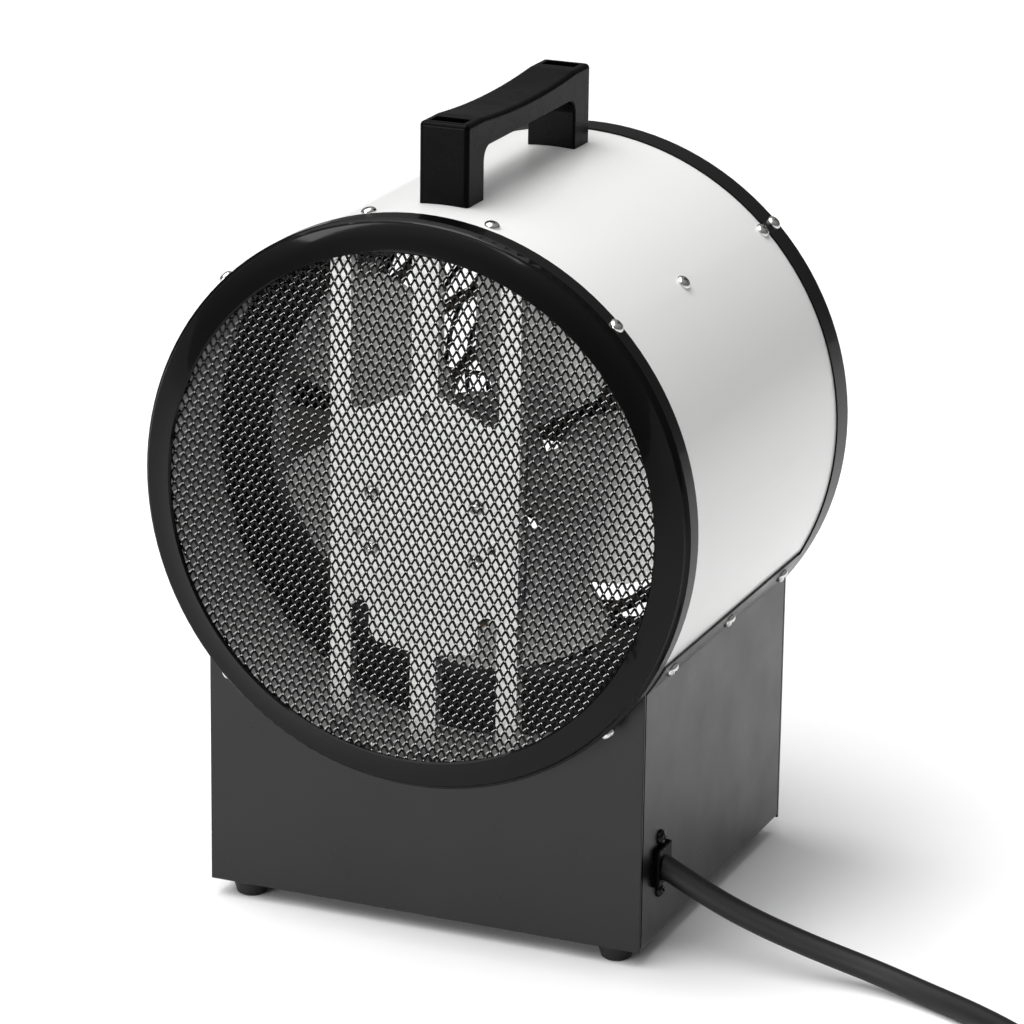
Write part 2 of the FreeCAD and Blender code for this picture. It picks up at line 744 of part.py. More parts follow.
arms = new_sketch(hanger, "XZ", "-bracket_front")
for low, high in (("-(%s)" % inside, "-bracket_slot_top"), ("0.81 * bracket_top", inside)):
    add_box(arms, "-%s" % edge_x, "-(%s)" % arm_x, low, high)
    add_box(arms, arm_x, edge_x, low, high)
add_box(arms, "-bracket_middle_arm / 2", "bracket_middle_arm / 2", "-(%s)" % inside,
        "-bracket_slot_top - bracket_lobe_depth")
add_box(arms, "-bracket_middle_arm / 2", "bracket_middle_arm / 2", "bracket_top", inside)
pad(hanger, arms, "bracket_sheet", reverse=True)
ribs = new_sketch(hanger, "XZ", "-(bracket_front + bracket_sheet)")
rib_end = "0.86 * (%s)" % inside
add_box(ribs, "-%s" % edge_x, "bracket_sheet - %s" % edge_x, "-%s" % rib_end, rib_end)
add_box(ribs, "%s - bracket_sheet" % edge_x, edge_x, "-%s" % rib_end, rib_end)
arm_spans = [("1.05 * bracket_top", rib_end), ("-%s" % rib_end, "-bracket_slot_top - 1.1 * bracket_lobe_depth")]
for low, high in arm_spans:
    add_box(ribs, "-(%s) - bracket_sheet" % arm_x, "-(%s)" % arm_x, low, high)
    add_box(ribs, arm_x, "%s + bracket_sheet" % arm_x, low, high)
    add_box(ribs, "-bracket_middle_arm / 2", "bracket_sheet - bracket_middle_arm / 2", low, high)
    add_box(ribs, "bracket_middle_arm / 2 - bracket_sheet", "bracket_middle_arm / 2", low, high)
pad(hanger, ribs, "bracket_flange", reverse=True)
trim = new_sketch(hanger, "XZ", "-bracket_front + 1")
add_circle(trim, "0", "0", inside)
add_circle(trim, "0", "0", "barrel_radius * 1.4")
pocket(hanger, trim, "bracket_foot_depth * 2")
shoes = new_sketch(hanger, "XZ", "-bracket_front")
for sign in ("", "-"):
    shoe_cos = "sin(bracket_foot_half_angle * 1deg)"
    shoe_sin = "%scos(bracket_foot_half_angle * 1deg)" % sign
    thin = "(%s - bracket_sheet)" % inside
    turn = "-" if sign else ""
    add_outline(shoes, [
        ("(%s) * %s" % (inside, shoe_cos), "(%s) * %s" % (inside, shoe_sin), "%s(%s)" % (turn, inside)),
        ("-(%s) * %s" % (inside, shoe_cos), "(%s) * %s" % (inside, shoe_sin)),
        ("-%s * %s" % (thin, shoe_cos), "%s * %s" % (thin, shoe_sin),
         "%s%s" % ("" if sign else "-", thin)),
        ("%s * %s" % (thin, shoe_cos), "%s * %s" % (thin, shoe_sin)),
    ])
pad(hanger, shoes, "bracket_foot_depth", reverse=True)
for angle, y in bracket_fixings:
    radial_hole(hanger, angle, y)
holes = new_sketch(hanger, "XZ", "-bracket_front")
motor_spots = [("%smotor_screw_x" % sign, "-motor_screw_drop * %d" % k) for sign in ("", "-") for k in (0, 1)]
for x, z in motor_spots:
    add_circle(holes, x, z, "screw_hole")
spare_hole_radius = value("0.788 * bracket_top")
for angle in (90, 210, 330):
    add_circle(holes, "%.4f" % (spare_hole_radius * math.cos(math.radians(angle))),
               "%.4f" % (spare_hole_radius * math.sin(math.radians(angle))), "screw_hole")
pocket(hanger, holes, "bracket_sheet * 4", middle=True)

# Motor: an open shaded-pole motor, its stack clamped between two bearing plates by bolts
# that run through from the bracket.
plate_front = "bracket_front + bracket_sheet + motor_standoff"
stack_front = plate_front + " + bearing_plate"
stack_back = stack_front + " + stack_depth"


def bearing_plate(name, near, boss_end, towards_air):
    body = new_body(name)
    plate = new_sketch(body, "XZ", "-(%s)" % near)
    add_box(plate, "-0.92 * stack_half_width", "0.92 * stack_half_width", "-motor_screw_drop - bearing_radius",
            "stack_top / 2")
    for x, z in motor_spots:
        add_circle(plate, x, z, "screw_hole")
    pad(body, plate, "bearing_plate", reverse=True)
    boss = new_sketch(body, "XZ", "-(%s)" % (near if not towards_air else near + " + bearing_plate"))
    add_circle(boss, "0", "0", "1.5 * bearing_radius")
    pad(body, boss, boss_end, reverse=towards_air)
    bore = new_sketch(body, "XZ", "-(%s)" % stack_front)
    add_circle(bore, "0", "0", "bearing_radius")
    pocket(body, bore, middle=True)
    return body


bearing_plate("front_bearing_plate", plate_front, "bearing_boss - bearing_plate", False)
bearing_plate("rear_bearing_plate", stack_back, "bearing_boss - bearing_plate", True)

stack = new_body("motor_stack")
lamination = new_sketch(stack, "XZ", "-(%s)" % stack_front)
add_box(lamination, "-stack_half_width", "stack_half_width", "-stack_bottom", "stack_top")
add_circle(lamination, "0", "0", "stack_bore")
window_low = "-stack_bottom + coil_window"
add_box(lamination, "-stack_bore + 0.5", "stack_bore - 0.5", window_low, window_low + " + coil_window")
for x, z in motor_spots:
    add_circle(lamination, x, z, "screw_hole")
pad(stack, lamination, "stack_depth", reverse=True)

winding = new_body("motor_coil")
around = new_sketch(winding, "YZ")
stack_middle = "(%s + stack_depth / 2)" % stack_front
for reach in ("coil_overhang", "coil_clearance"):
    add_box(around, "%s - stack_depth / 2 - %s" % (stack_middle, reach),
            "%s + stack_depth / 2 + %s" % (stack_middle, reach),
            "-stack_bottom - " + reach, "%s + %s" % (window_low, reach))
pad(winding, around, "1.63 * stack_bore", middle=True)
fillet(winding, lambda edge: edge.BoundBox.XLength > value("stack_bore") and abs(
    edge.BoundBox.Center.y - value(stack_middle)) > value("(stack_depth + coil_overhang) / 2"), "coil_overhang / 2")


def along_y(x, z, radius, start, length, bore=0.0):
    """A plain cylinder, or a tube where it has a bore, lying along +Y."""
    place = Vector(x, start, z)
    solid = Part.makeCylinder(radius, length, place, Vector(0, 1, 0))
    if bore:
        solid = solid.cut(Part.makeCylinder(bore, length, place, Vector(0, 1, 0)))
    return solid


spots = [(value(x), value(z)) for x, z in motor_spots]
feature("motor_spacers", Part.makeCompound([
    along_y(x, z, value("spacer_radius"), value("bracket_front + bracket_sheet"), value("motor_standoff"), value("screw_hole"))
    for x, z in spots]))
bush_starts = [value(stack_front + " - bearing_boss"), value(stack_back)]
feature("bearing_bushes", Part.makeCompound([
    along_y(0, 0, value("bearing_radius"), start, value("bearing_boss"), value("shaft_radius + shaft_clearance"))
    for start in bush_starts]))

# Rotor: shaft, squirrel cage, hub and the pressed blades turn as one.
hub_end = "fan_plane + fan_hub_length / 2"
shaft_start = "(%s - bearing_boss + 1)" % stack_front


def turned_part(name, start, end, radius, bore):
    body = new_body(name)
    ring = new_sketch(body, "XZ", "-(%s)" % start)
    add_circle(ring, "0", "0", radius)
    if bore:
        add_circle(ring, "0", "0", bore)
    pad(body, ring, "(%s) - (%s)" % (end, start), reverse=True)
    return body


turned_part("motor_shaft", shaft_start, hub_end + " + shaft_radius", "shaft_radius", "")
turned_part("rotor_core", stack_front, stack_back, "stack_bore - rotor_gap", "shaft_radius")
turned_part("fan_hub", "fan_plane - fan_hub_length / 2", hub_end, "fan_hub_radius", "shaft_radius")


def fan_blades():
    """Five pressed aluminium petals on a disc. Each is cut from a twisted strip: steep at
    the root, flatter at the tip."""
    sheet_half = value("fan_sheet / 2")
    tip = value("fan_radius")
    plane = value("fan_plane")
    sections = []
    for reach, chord, pitch in ((0.24, 0.54, "pitch_root"), (0.6, 0.92, "pitch_middle"), (1.03, 1.4, "pitch_tip")):
        turn = math.radians(value(pitch))
        height = reach * tip
        half = chord * tip / 2
        along = Vector(math.cos(turn), -math.sin(turn), 0)
        across = Vector(math.sin(turn), math.cos(turn), 0) * sheet_half
        middle = Vector(0, plane, height)
        corners = [middle - along * half - across, middle + along * half - across,
                   middle + along * half + across, middle - along * half + across]
        sections.append(Part.makePolygon(corners + corners[:1]))
    strip = Part.makeLoft(sections, True, False)
    leading = [(0.28, 4), (0.73, 0), (0.885, 7), (0.977, 13)]
    crown = [(1, 20), (1, 29), (1, 38), (1, 47), (1, 56)]
    trailing = [(0.94, 60.5), (0.72, 63), (0.49, 65.5), (0.455, 64), (0.365, 53), (0.28, 48)]
    outline = []
    for share, turn in leading + crown + trailing:
        angle = math.radians(57 + turn)
        outline.append(Vector(share * tip * math.cos(angle), plane - tip / 2, share * tip * math.sin(angle)))
    prism = Part.Face(Part.makePolygon(outline + outline[:1])).extrude(Vector(0, tip, 0))
    petal = strip.common(prism)
    disc = along_y(0, 0, value("fan_disc_radius"), plane - sheet_half, 2 * sheet_half)
    petals = []
    for k in range(5):
        copy = petal.copy()
        copy.rotate(Vector(), Vector(0, -1, 0), value("fan_start_angle") - 90 + 72 * k)
        petals.append(copy)
    wheel = disc.fuse(petals)
    return wheel.cut(along_y(0, 0, value("fan_hub_radius"), plane - tip / 4, tip / 2))


feature("fan_blades", fan_blades())

# Duct: the shroud that makes the blades work, then the liner round the elements.
shroud = new_body("fan_shroud")
channel = new_sketch(shroud, "YZ")
rim = "(barrel_radius - barrel_sheet - ring_gap)"
add_outline(channel, [
    ("shroud_front", "shroud_throat"),
    ("shroud_front", rim),
    ("shroud_front + shroud_rim_length", rim),
    ("shroud_front + shroud_rim_length", "%s - shroud_sheet" % rim),
    ("shroud_front + shroud_sheet", "%s - shroud_sheet" % rim),
    ("shroud_front + shroud_sheet", "shroud_throat + shroud_sheet"),
    ("shroud_front + shroud_throat_length", "shroud_throat + shroud_sheet"),
    ("shroud_front + shroud_throat_length", "shroud_throat"),
])
revolve(shroud, channel)
for angle in duct_angles:
    radial_hole(shroud, angle, "shroud_screw_row")

liner = new_body("heat_liner")
wall_ring = new_sketch(liner, "XZ", "-(shroud_front + shroud_sheet)")
add_circle(wall_ring, "0", "0", "liner_radius")
add_circle(wall_ring, "0", "0", "liner_radius - liner_sheet")
pad(liner, wall_ring, "liner_end - shroud_front - shroud_sheet", reverse=True)
for angle in duct_angles:
    radial_hole(liner, angle, "liner_screw_row")
slot_below = new_sketch(liner, "XY")
add_box(slot_below, "-port_half_width", "port_half_width", "heater_plane - port_half_length",
        "heater_plane + port_half_length")
pocket(liner, slot_below)


def liner_spacer(angle):
    """A tube that stands between the liner and the barrel at one screw."""
    length = value("liner_gap - barrel_sheet - 0.04 * spacer_radius")
    turn = math.radians(value(angle))
    outward = Vector(math.cos(turn), 0, math.sin(turn))
    foot = outward * value("liner_radius + ring_gap / 2") + Vector(0, value("liner_screw_row"), 0)
    tube = Part.makeCylinder(value("spacer_radius"), length, foot, outward)
    return tube.cut(Part.makeCylinder(value("screw_hole"), length, foot, outward))


feature("liner_spacers", Part.makeCompound([liner_spacer(angle) for angle in duct_angles]))


def heater_element(ring, leg):
    """A sheathed tube bent to an open ring, with two legs that leave it downwards."""
    plane = value("heater_plane")
    bend = value("heater_bend")
    foot = -value("heater_leg_end")
    drop = -math.sqrt((ring + bend) ** 2 - (leg + bend) ** 2)

    def at(x, z):
        return Vector(x, plane, z)

    share = ring / (ring + bend)
    reach = math.hypot(leg + bend, drop)
    meet = (leg + bend) * share, drop * share
    facing = math.atan2(-drop, -(leg + bend))
    half = (math.pi + facing) / 2
    middle = leg + bend + bend * math.cos(half), drop + bend * math.sin(half)
    edges = [
        Part.LineSegment(at(-leg, foot), at(-leg, drop)),
        Part.Arc(at(-leg, drop), at(-middle[0], middle[1]), at(-meet[0], meet[1])),
        Part.Arc(at(-meet[0], meet[1]), at(0, ring), at(meet[0], meet[1])),
        Part.Arc(at(meet[0], meet[1]), at(middle[0], middle[1]), at(leg, drop)),
        Part.LineSegment(at(leg, drop), at(leg, foot)),
    ]
    path = Part.Wire([edge.toShape() for edge in edges])
    section = Part.Wire(Part.makeCircle(value("heater_tube"), at(-leg, foot), Vector(0, 0, 1)))
    return path.makePipeShell([section], True, False)


rings = [value("heater_inner + %d * heater_step" % k) for k in range(3)]
legs = [value("heater_first_leg + %d * heater_leg_step" % k) for k in range(3)]
for place, ring, leg in zip(("inner", "middle", "outer"), rings, legs):
    feature("heater_element_" + place, heater_element(ring, leg))

carrier = new_body("heater_bracket")
spider = new_sketch(carrier, "XZ", "-(heater_plane + heater_tube)")
half_bar = "heater_bar_width / 2"
reach = "sqrt((liner_radius - liner_sheet)^2 - (%s)^2)" % half_bar
add_outline(spider, [
    ("-(%s)" % reach, "-" + half_bar),
    (reach, "-" + half_bar),
    (reach, half_bar),
    (half_bar, half_bar),
    (half_bar, reach),
    ("-" + half_bar, reach),
    ("-" + half_bar, half_bar),
    ("-(%s)" % reach, half_bar),
])
pad(carrier, spider, "heater_bar_sheet", reverse=True)
tabs = new_sketch(carrier, "XZ", "-(heater_plane + heater_tube + heater_bar_sheet)")
tab = "(%s - heater_bar_sheet)" % reach
add_box(tabs, tab, reach, "-" + half_bar, half_bar)
add_box(tabs, "-(%s)" % reach, "-" + tab, "-" + half_bar, half_bar)
add_box(tabs, "-" + half_bar, half_bar, tab, reach)
pad(carrier, tabs, "heater_bar_width", reverse=True)

turned_part("thermal_cutout", "heater_plane + heater_tube + heater_bar_sheet",
            "heater_plane + heater_tube + heater_bar_sheet + cutout_height", "cutout_radius", "")

block = new_body("terminal_block")
pads = new_sketch(block, "XY", bottom + " + base_sheet")
add_box(pads, "-port_half_width", "port_half_width", "heater_plane - terminal_half_depth",
        "heater_plane + terminal_half_depth")
pad(block, pads, "terminal_height")
clamps = new_sketch(block, "XY", bottom + " + base_sheet + terminal_height")
for k in range(-2, 3):
    add_circle(clamps, "port_half_width * 0.4 * %d" % k, "heater_plane", "1.2 * screw_hole")
pocket(block, clamps, "0.4 * terminal_height")

# Controls: two rotary switches behind the outlet panel, each with a spindle and a knob.
panel_back = "base_front + base_depth - panel_sheet"


def control_body(name, x, outline):
    body = new_body(name, x, "0", "axis_height + control_height")
    case = new_sketch(body, "XZ", "-(%s)" % panel_back)
    outline(case)
    pad(body, case, "switch_depth")
    neck = new_sketch(body, "XZ", "-(%s)" % panel_back)
    add_circle(neck, "0", "0", "panel_hole - 0.5")
    pad(body, neck, "panel_sheet", reverse=True)
    bore = new_sketch(body, "XZ", "-(%s)" % panel_face)
    add_circle(bore, "0", "0", "spindle_radius + spindle_clearance")
    pocket(body, bore, "spindle_depth + panel_sheet", reverse=True)
    return body


def spindle_and_knob(names, x):
    height = "axis_height + control_height"
    back = panel_face + " + knob_gap"
    face = back + " + knob_height"
    rod = new_body(names[0], x, "0", height)
    circle = new_sketch(rod, "XZ", "-(%s - spindle_depth + 0.5)" % panel_back)
    add_circle(circle, "0", "0", "spindle_radius")
    pad(rod, circle, "spindle_depth - 0.5 + panel_sheet + knob_gap + knob_height - 1.3 * knob_bar", reverse=True)
    knob = new_body(names[1], x, "0", height)
    profile = new_sketch(knob, "YZ")
    add_outline(profile, [
        (back, "spindle_radius"),
        (back, "knob_radius"),
        (back + " + 3", "knob_radius"),
        (back + " + 4.2", "knob_radius - 3"),
        (face + " - knob_bar", "knob_radius - 4"),
        (face + " - knob_bar", "0"),
        (face + " - 1.3 * knob_bar", "0"),
        (face + " - 1.3 * knob_bar", "spindle_radius"),
    ])
    revolve(knob, profile)
    bar = new_sketch(knob, "XZ", "-(%s - knob_bar)" % face)
    add_box(bar, "-0.19 * knob_radius", "0.19 * knob_radius", "-0.76 * knob_radius", "0.76 * knob_radius")
    pad(knob, bar, "knob_bar", reverse=True)
    return knob


control_body("heat_switch", "-control_spread",
             lambda case: add_box(case, "-switch_half_width", "switch_half_width",
                                  "-switch_half_width", "switch_half_width"))
control_body("thermostat", "control_spread",
             lambda case: add_circle(case, "0", "0", "thermostat_radius"))
spindle_and_knob(("heat_spindle", "heat_knob"), "-control_spread")
spindle_and_knob(("thermostat_spindle", "thermostat_knob"), "control_spread")

# Supply cord: it leaves through a clamped gland in the right wall, slopes to the floor and
# lies in a coil that ends in a two-pin plug.
slope = math.tan(math.radians(27))
exit_x = value("base_half_width + gland_proud")
exit_y = value("gland_side")
exit_z = value("gland_height") - 1.5
radius = value("cord_radius")
coil_x = value("coil_center_x")
coil_y = value("coil_center_y")
coil_turn = value("coil_mean + cord_radius")


def down_slope(x):
    return Vector(x, exit_y, exit_z - (x - exit_x) * slope)


def gland():
    """A flanged block: the flange bears on the inside of the wall, the boss fills its cut-out."""
    wide = value("gland_width")
    tall = value("gland_tall")
    middle = value("gland_height")
    wall_x = value(wall_in)
    flange = value("gland_screw_pitch") / 2 + 5
    base = Part.makeBox(3, wide, 2 * flange, Vector(wall_x - 3, exit_y - wide / 2, middle - flange))
    boss = Part.makeBox(exit_x - wall_x, wide, tall, Vector(wall_x, exit_y - wide / 2, middle - tall / 2))
    upright = [edge for edge in boss.Edges if edge.BoundBox.XMin > exit_x - 0.01
               or edge.BoundBox.XLength > 1]
    boss = boss.makeFillet(1.0, upright)
    bore = Part.makeCylinder(radius, 40, down_slope(exit_x - 20), Vector(1, 0, -slope))
    holes = [Part.makeCylinder(value("screw_hole"), 6, Vector(wall_x - 4, exit_y, z), Vector(1, 0, 0))
             for z in (middle - value("gland_screw_pitch") / 2, middle + value("gland_screw_pitch") / 2)]
    return base.fuse(boss).cut(holes + [bore])


def bent_wire(points):
    """Straight runs joined by arcs, each as wide as the shorter run beside it allows."""
    edges = []
    last = points[0]
    for i in range(1, len(points) - 1):
        before = points[i] - points[i - 1]
        after = points[i + 1] - points[i]
        half = before.getAngle(after) / 2
        reach = 0.45 * min(before.Length, after.Length)
        start = points[i] - before.normalize() * reach
        end = points[i] + after.normalize() * reach
        bend = reach / math.tan(half)
        bisector = (after - before).normalize()
        middle = points[i] + bisector * (bend / math.cos(half) - bend)
        edges.append(Part.LineSegment(last, start).toShape())
        edges.append(Part.Arc(start, middle, end).toShape())
        last = end
    edges.append(Part.LineSegment(last, points[-1]).toShape())
    return Part.Wire(edges)


def cord_along(points):
    wire = bent_wire(points)
    section = Part.Wire(Part.makeCircle(radius, points[0], points[1] - points[0]))
    return wire.makePipeShell([section], True, False)


feature("cable_gland", gland(), "0")
turn_x = coil_x + coil_turn
tail_y = coil_y - value("coil_mean")
cord_route = [down_slope(109), down_slope(132), Vector(160, -74.4, 28.4), Vector(195, -73.2, 17.6),
              Vector(231, -73.0, 9.6), Vector(262, -82.0, 6.2), Vector(292, -96.0, 6.0),
              Vector(322, -115.0, 6.0), Vector(349, -138.5, 6.0), Vector(370, -164.0, 6.0),
              Vector(385.5, -194.0, 6.0), Vector(turn_x, coil_y + 4, 6.0)]
feature("supply_cord", cord_along(cord_route), "0")


def coil():
    """The lying turns of cord as one closed ring."""
    inner = value("coil_mean - 2 * cord_radius")
    outer = value("coil_mean + 2 * cord_radius")
    height = (2 + math.sqrt(3)) * radius
    ring = Part.makeCylinder(outer, height, Vector(coil_x, coil_y, 0)).cut(
        Part.makeCylinder(inner, height, Vector(coil_x, coil_y, 0)))
    return ring.makeChamfer(3.2, [edge for edge in ring.Edges if isinstance(edge.Curve, Part.Circle)])


feature("cord_coil", coil(), "0")
plug_z = value("plug_radius")
tail_route = [Vector(coil_x + 16, tail_y + 1, 16.4), Vector(coil_x - 24, tail_y, 17),
              Vector(coil_x - 64, tail_y + 1, plug_z)]
feature("cord_tail", cord_along(tail_route), "0")


def plug():
    """A moulded two-pin plug with a waisted neck, lying on its side."""
    big = plug_z
    long = value("plug_length")
    start = Vector(coil_x - 64, tail_y + 1, plug_z)
    outline = [(0, 0), (0, 8.5), (16, 10), (22, big), (22 + long - 3, big), (22 + long, big - 3), (22 + long, 0)]
    points = [start + Vector(-a, 0, b) for a, b in outline]
    body = Part.Face(Part.makePolygon(points + points[:1])).revolve(start, Vector(1, 0, 0), 360)
    pins = [Part.makeCylinder(value("plug_pin_radius"), value("plug_pin_length"),
                              start + Vector(-22 - long + 0.5, side * 9.5, 0), Vector(-1, 0, 0))
            for side in (-1, 1)]
    return body.fuse(pins)


feature("plug", plug(), "0")


# Screws: one group of equal screws for each joint they make.
def screw(length):
    """Head above z = 0, shank below it."""
    head = Part.makeCylinder(value("screw_head_radius"), value("screw_head_height"))
    shank = Part.makeCylinder(value("screw_radius"), length, Vector(0, 0, -length))
    return head.fuse(shank)


def screw_at(length, spot, outward):
    item = screw(length)
    item.Placement = Placement(spot, Rotation(Vector(0, 0, 1), outward))
    return item


def radial_screws(name, length, seat_radius, places):
    """Screws that point at the barrel's axis from the given angles and rows."""
    items = []
    for angle, y in places:
        turn = math.radians(value(angle))
        outward = Vector(math.cos(turn), 0, math.sin(turn))
        items.append(screw_at(length, outward * value(seat_radius) + Vector(0, value(y), 0), outward))
    feature(name, Part.makeCompound(items))


corners = ["45 + 90 * %d" % k for k in range(4)]
radial_screws("ring_screws", 6, "barrel_radius + ring_gap + ring_sheet",
              [(angle, y) for y in (ring_screw_front, ring_screw_back) for angle in corners])
radial_screws("shroud_screws", 6, "barrel_radius", [(angle, "shroud_screw_row") for angle in duct_angles])
radial_screws("liner_screws", value("liner_gap") + 3, "barrel_radius",
              [(angle, "liner_screw_row") for angle in duct_angles])
radial_screws("saddle_screws", 6, saddle_out, [(angle, y) for y in saddle_rows for angle in (
    "-saddle_screw_angle", "180 + saddle_screw_angle")])
radial_screws("bracket_screws", 6, "barrel_radius", bracket_fixings)
radial_screws("handle_screws", value("handle_top - handle_pocket_depth - barrel_radius") + 5,
              "handle_top - handle_pocket_depth", [("90", y) for y in handle_screw_rows])
bolt = value("bracket_sheet + motor_standoff + 2 * bearing_plate + stack_depth") + 4
feature("motor_bolts", Part.makeCompound([
    screw_at(bolt, Vector(x, value("bracket_front"), z), Vector(0, -1, 0)) for x, z in spots]))
feet = [(sign * value(foot_x), value(y)) for sign in (1, -1) for y in (foot_front, foot_back)]
feature("foot_screws", Part.makeCompound([
    screw_at(value("foot_height / 2") + 5, Vector(x, y, value("foot_height / 2")), Vector(0, 0, -1))
    for x, y in feet]), "0")
feature("panel_screws", Part.makeCompound([
    screw_at(6, Vector(value(x), value(y), value("foot_height")), Vector(0, 0, -1))
    for x in panel_screw_columns for y in panel_screw_rows]), "0")
feature("gland_screws", Part.makeCompound([
    screw_at(7, Vector(value(wall), exit_y, value("gland_height") + side * value("gland_screw_pitch") / 2),
             Vector(1, 0, 0)) for side in (-1, 1)]), "0")


doc.recompute()
for item in doc.Objects:
    for word in ("Invalid", "Error"):
        if word in item.State:
            raise RuntimeError("%s is %s" % (item.Label, item.State))
for item in nodes:
    if item.Shape.isNull() or not item.Shape.isValid():
        raise RuntimeError(item.Label + " has no valid shape")
os.makedirs("parts", exist_ok=True)
for item in nodes:
    item.Shape.exportStep("parts/%s.step" % item.Label)
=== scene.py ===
import json
import math
import bmesh
import bpy
from mathutils import Matrix, Vector


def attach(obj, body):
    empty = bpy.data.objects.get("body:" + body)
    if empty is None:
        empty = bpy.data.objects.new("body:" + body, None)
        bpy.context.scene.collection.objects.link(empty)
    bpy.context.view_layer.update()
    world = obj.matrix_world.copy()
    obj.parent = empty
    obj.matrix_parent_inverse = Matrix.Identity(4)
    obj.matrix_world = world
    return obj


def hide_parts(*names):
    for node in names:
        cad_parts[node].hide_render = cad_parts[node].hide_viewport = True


# A portable electric fan heater. The drum's axis runs along Y, with the intake towards -Y.
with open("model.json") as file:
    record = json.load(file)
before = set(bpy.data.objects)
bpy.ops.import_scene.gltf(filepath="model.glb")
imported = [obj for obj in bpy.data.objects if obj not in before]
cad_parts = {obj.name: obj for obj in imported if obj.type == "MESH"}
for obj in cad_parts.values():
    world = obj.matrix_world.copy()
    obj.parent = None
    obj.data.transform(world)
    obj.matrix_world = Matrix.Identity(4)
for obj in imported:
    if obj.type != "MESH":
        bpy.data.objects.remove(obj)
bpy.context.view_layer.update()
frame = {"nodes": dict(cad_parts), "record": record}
cad = frame["nodes"]
mm = 0.001
axisHeight = 0.229  # the drum's axis above the floor


# A hex sRGB colour as linear RGBA.
def colorOf(text):
    channels = [int(text[i:i + 2], 16) / 255 for i in (1, 3, 5)]
    linear = [c / 12.92 if c <= 0.04045 else ((c + 0.055) / 1.055) ** 2.4 for c in channels]
    return (*linear, 1.0)


# A node with its settings. An input is given by name or index, as a value, a socket, or a node
# whose first output is meant.
def addNode(tree, kind, values=None, **settings):
    node = tree.nodes.new(kind)
    for key, item in settings.items():
        setattr(node, key, item)
    for key, item in (values or {}).items():
        if isinstance(item, bpy.types.Node):
            item = item.outputs[0]
        if isinstance(item, bpy.types.NodeSocket):
            tree.links.new(item, node.inputs[key])
        else:
            node.inputs[key].default_value = item
    return node


# A finish. Grain is noise that dents the surface, cloud is noise that varies its roughness or its
# colour. Both have cells of the given size in mm, drawn out along an axis whose stretch is under 1.
def finishOf(name, color, roughness, metallic=0.0, grain=None, cloud=None, sockets=None):
    material = bpy.data.materials.new(name)
    material.use_nodes = True
    material.diffuse_color = colorOf(color)
    tree = material.node_tree
    shader = tree.nodes["Principled BSDF"]
    plain = {"Base Color": colorOf(color), "Roughness": roughness, "Metallic": metallic}
    for key, item in (plain | (sockets or {})).items():
        shader.inputs[key].default_value = item
    for pattern in filter(None, (grain, cloud)):
        mapping = addNode(tree, "ShaderNodeMapping", {
            "Vector": addNode(tree, "ShaderNodeTexCoord").outputs["Object"],
            "Scale": pattern.get("stretch", (1, 1, 1))})
        noise = addNode(tree, "ShaderNodeTexNoise", {
            "Vector": mapping, "Scale": 1 / (pattern["size"] * mm), "Detail": pattern["detail"]})
        spread = {"Value": noise, "From Min": 0.3, "From Max": 0.7}  # where most of the noise lies
        if "depth" in pattern:
            bump = addNode(tree, "ShaderNodeBump", {
                "Height": noise, "Distance": pattern["depth"] * mm, "Strength": 1.0})
            tree.links.new(bump.outputs["Normal"], shader.inputs["Normal"])
        if "roughness" in pattern:
            low, high = pattern["roughness"]
            varied = addNode(tree, "ShaderNodeMapRange", spread | {"To Min": low, "To Max": high})
            tree.links.new(varied.outputs["Result"], shader.inputs["Roughness"])
        if "tint" in pattern:
            dark, light = (colorOf(text) for text in pattern["tint"])
            mixed = addNode(tree, "ShaderNodeMix", {
                "Factor": addNode(tree, "ShaderNodeMapRange", spread), 6: dark, 7: light}, data_type="RGBA")
            tree.links.new(mixed.outputs[2], shader.inputs["Base Color"])
    return material


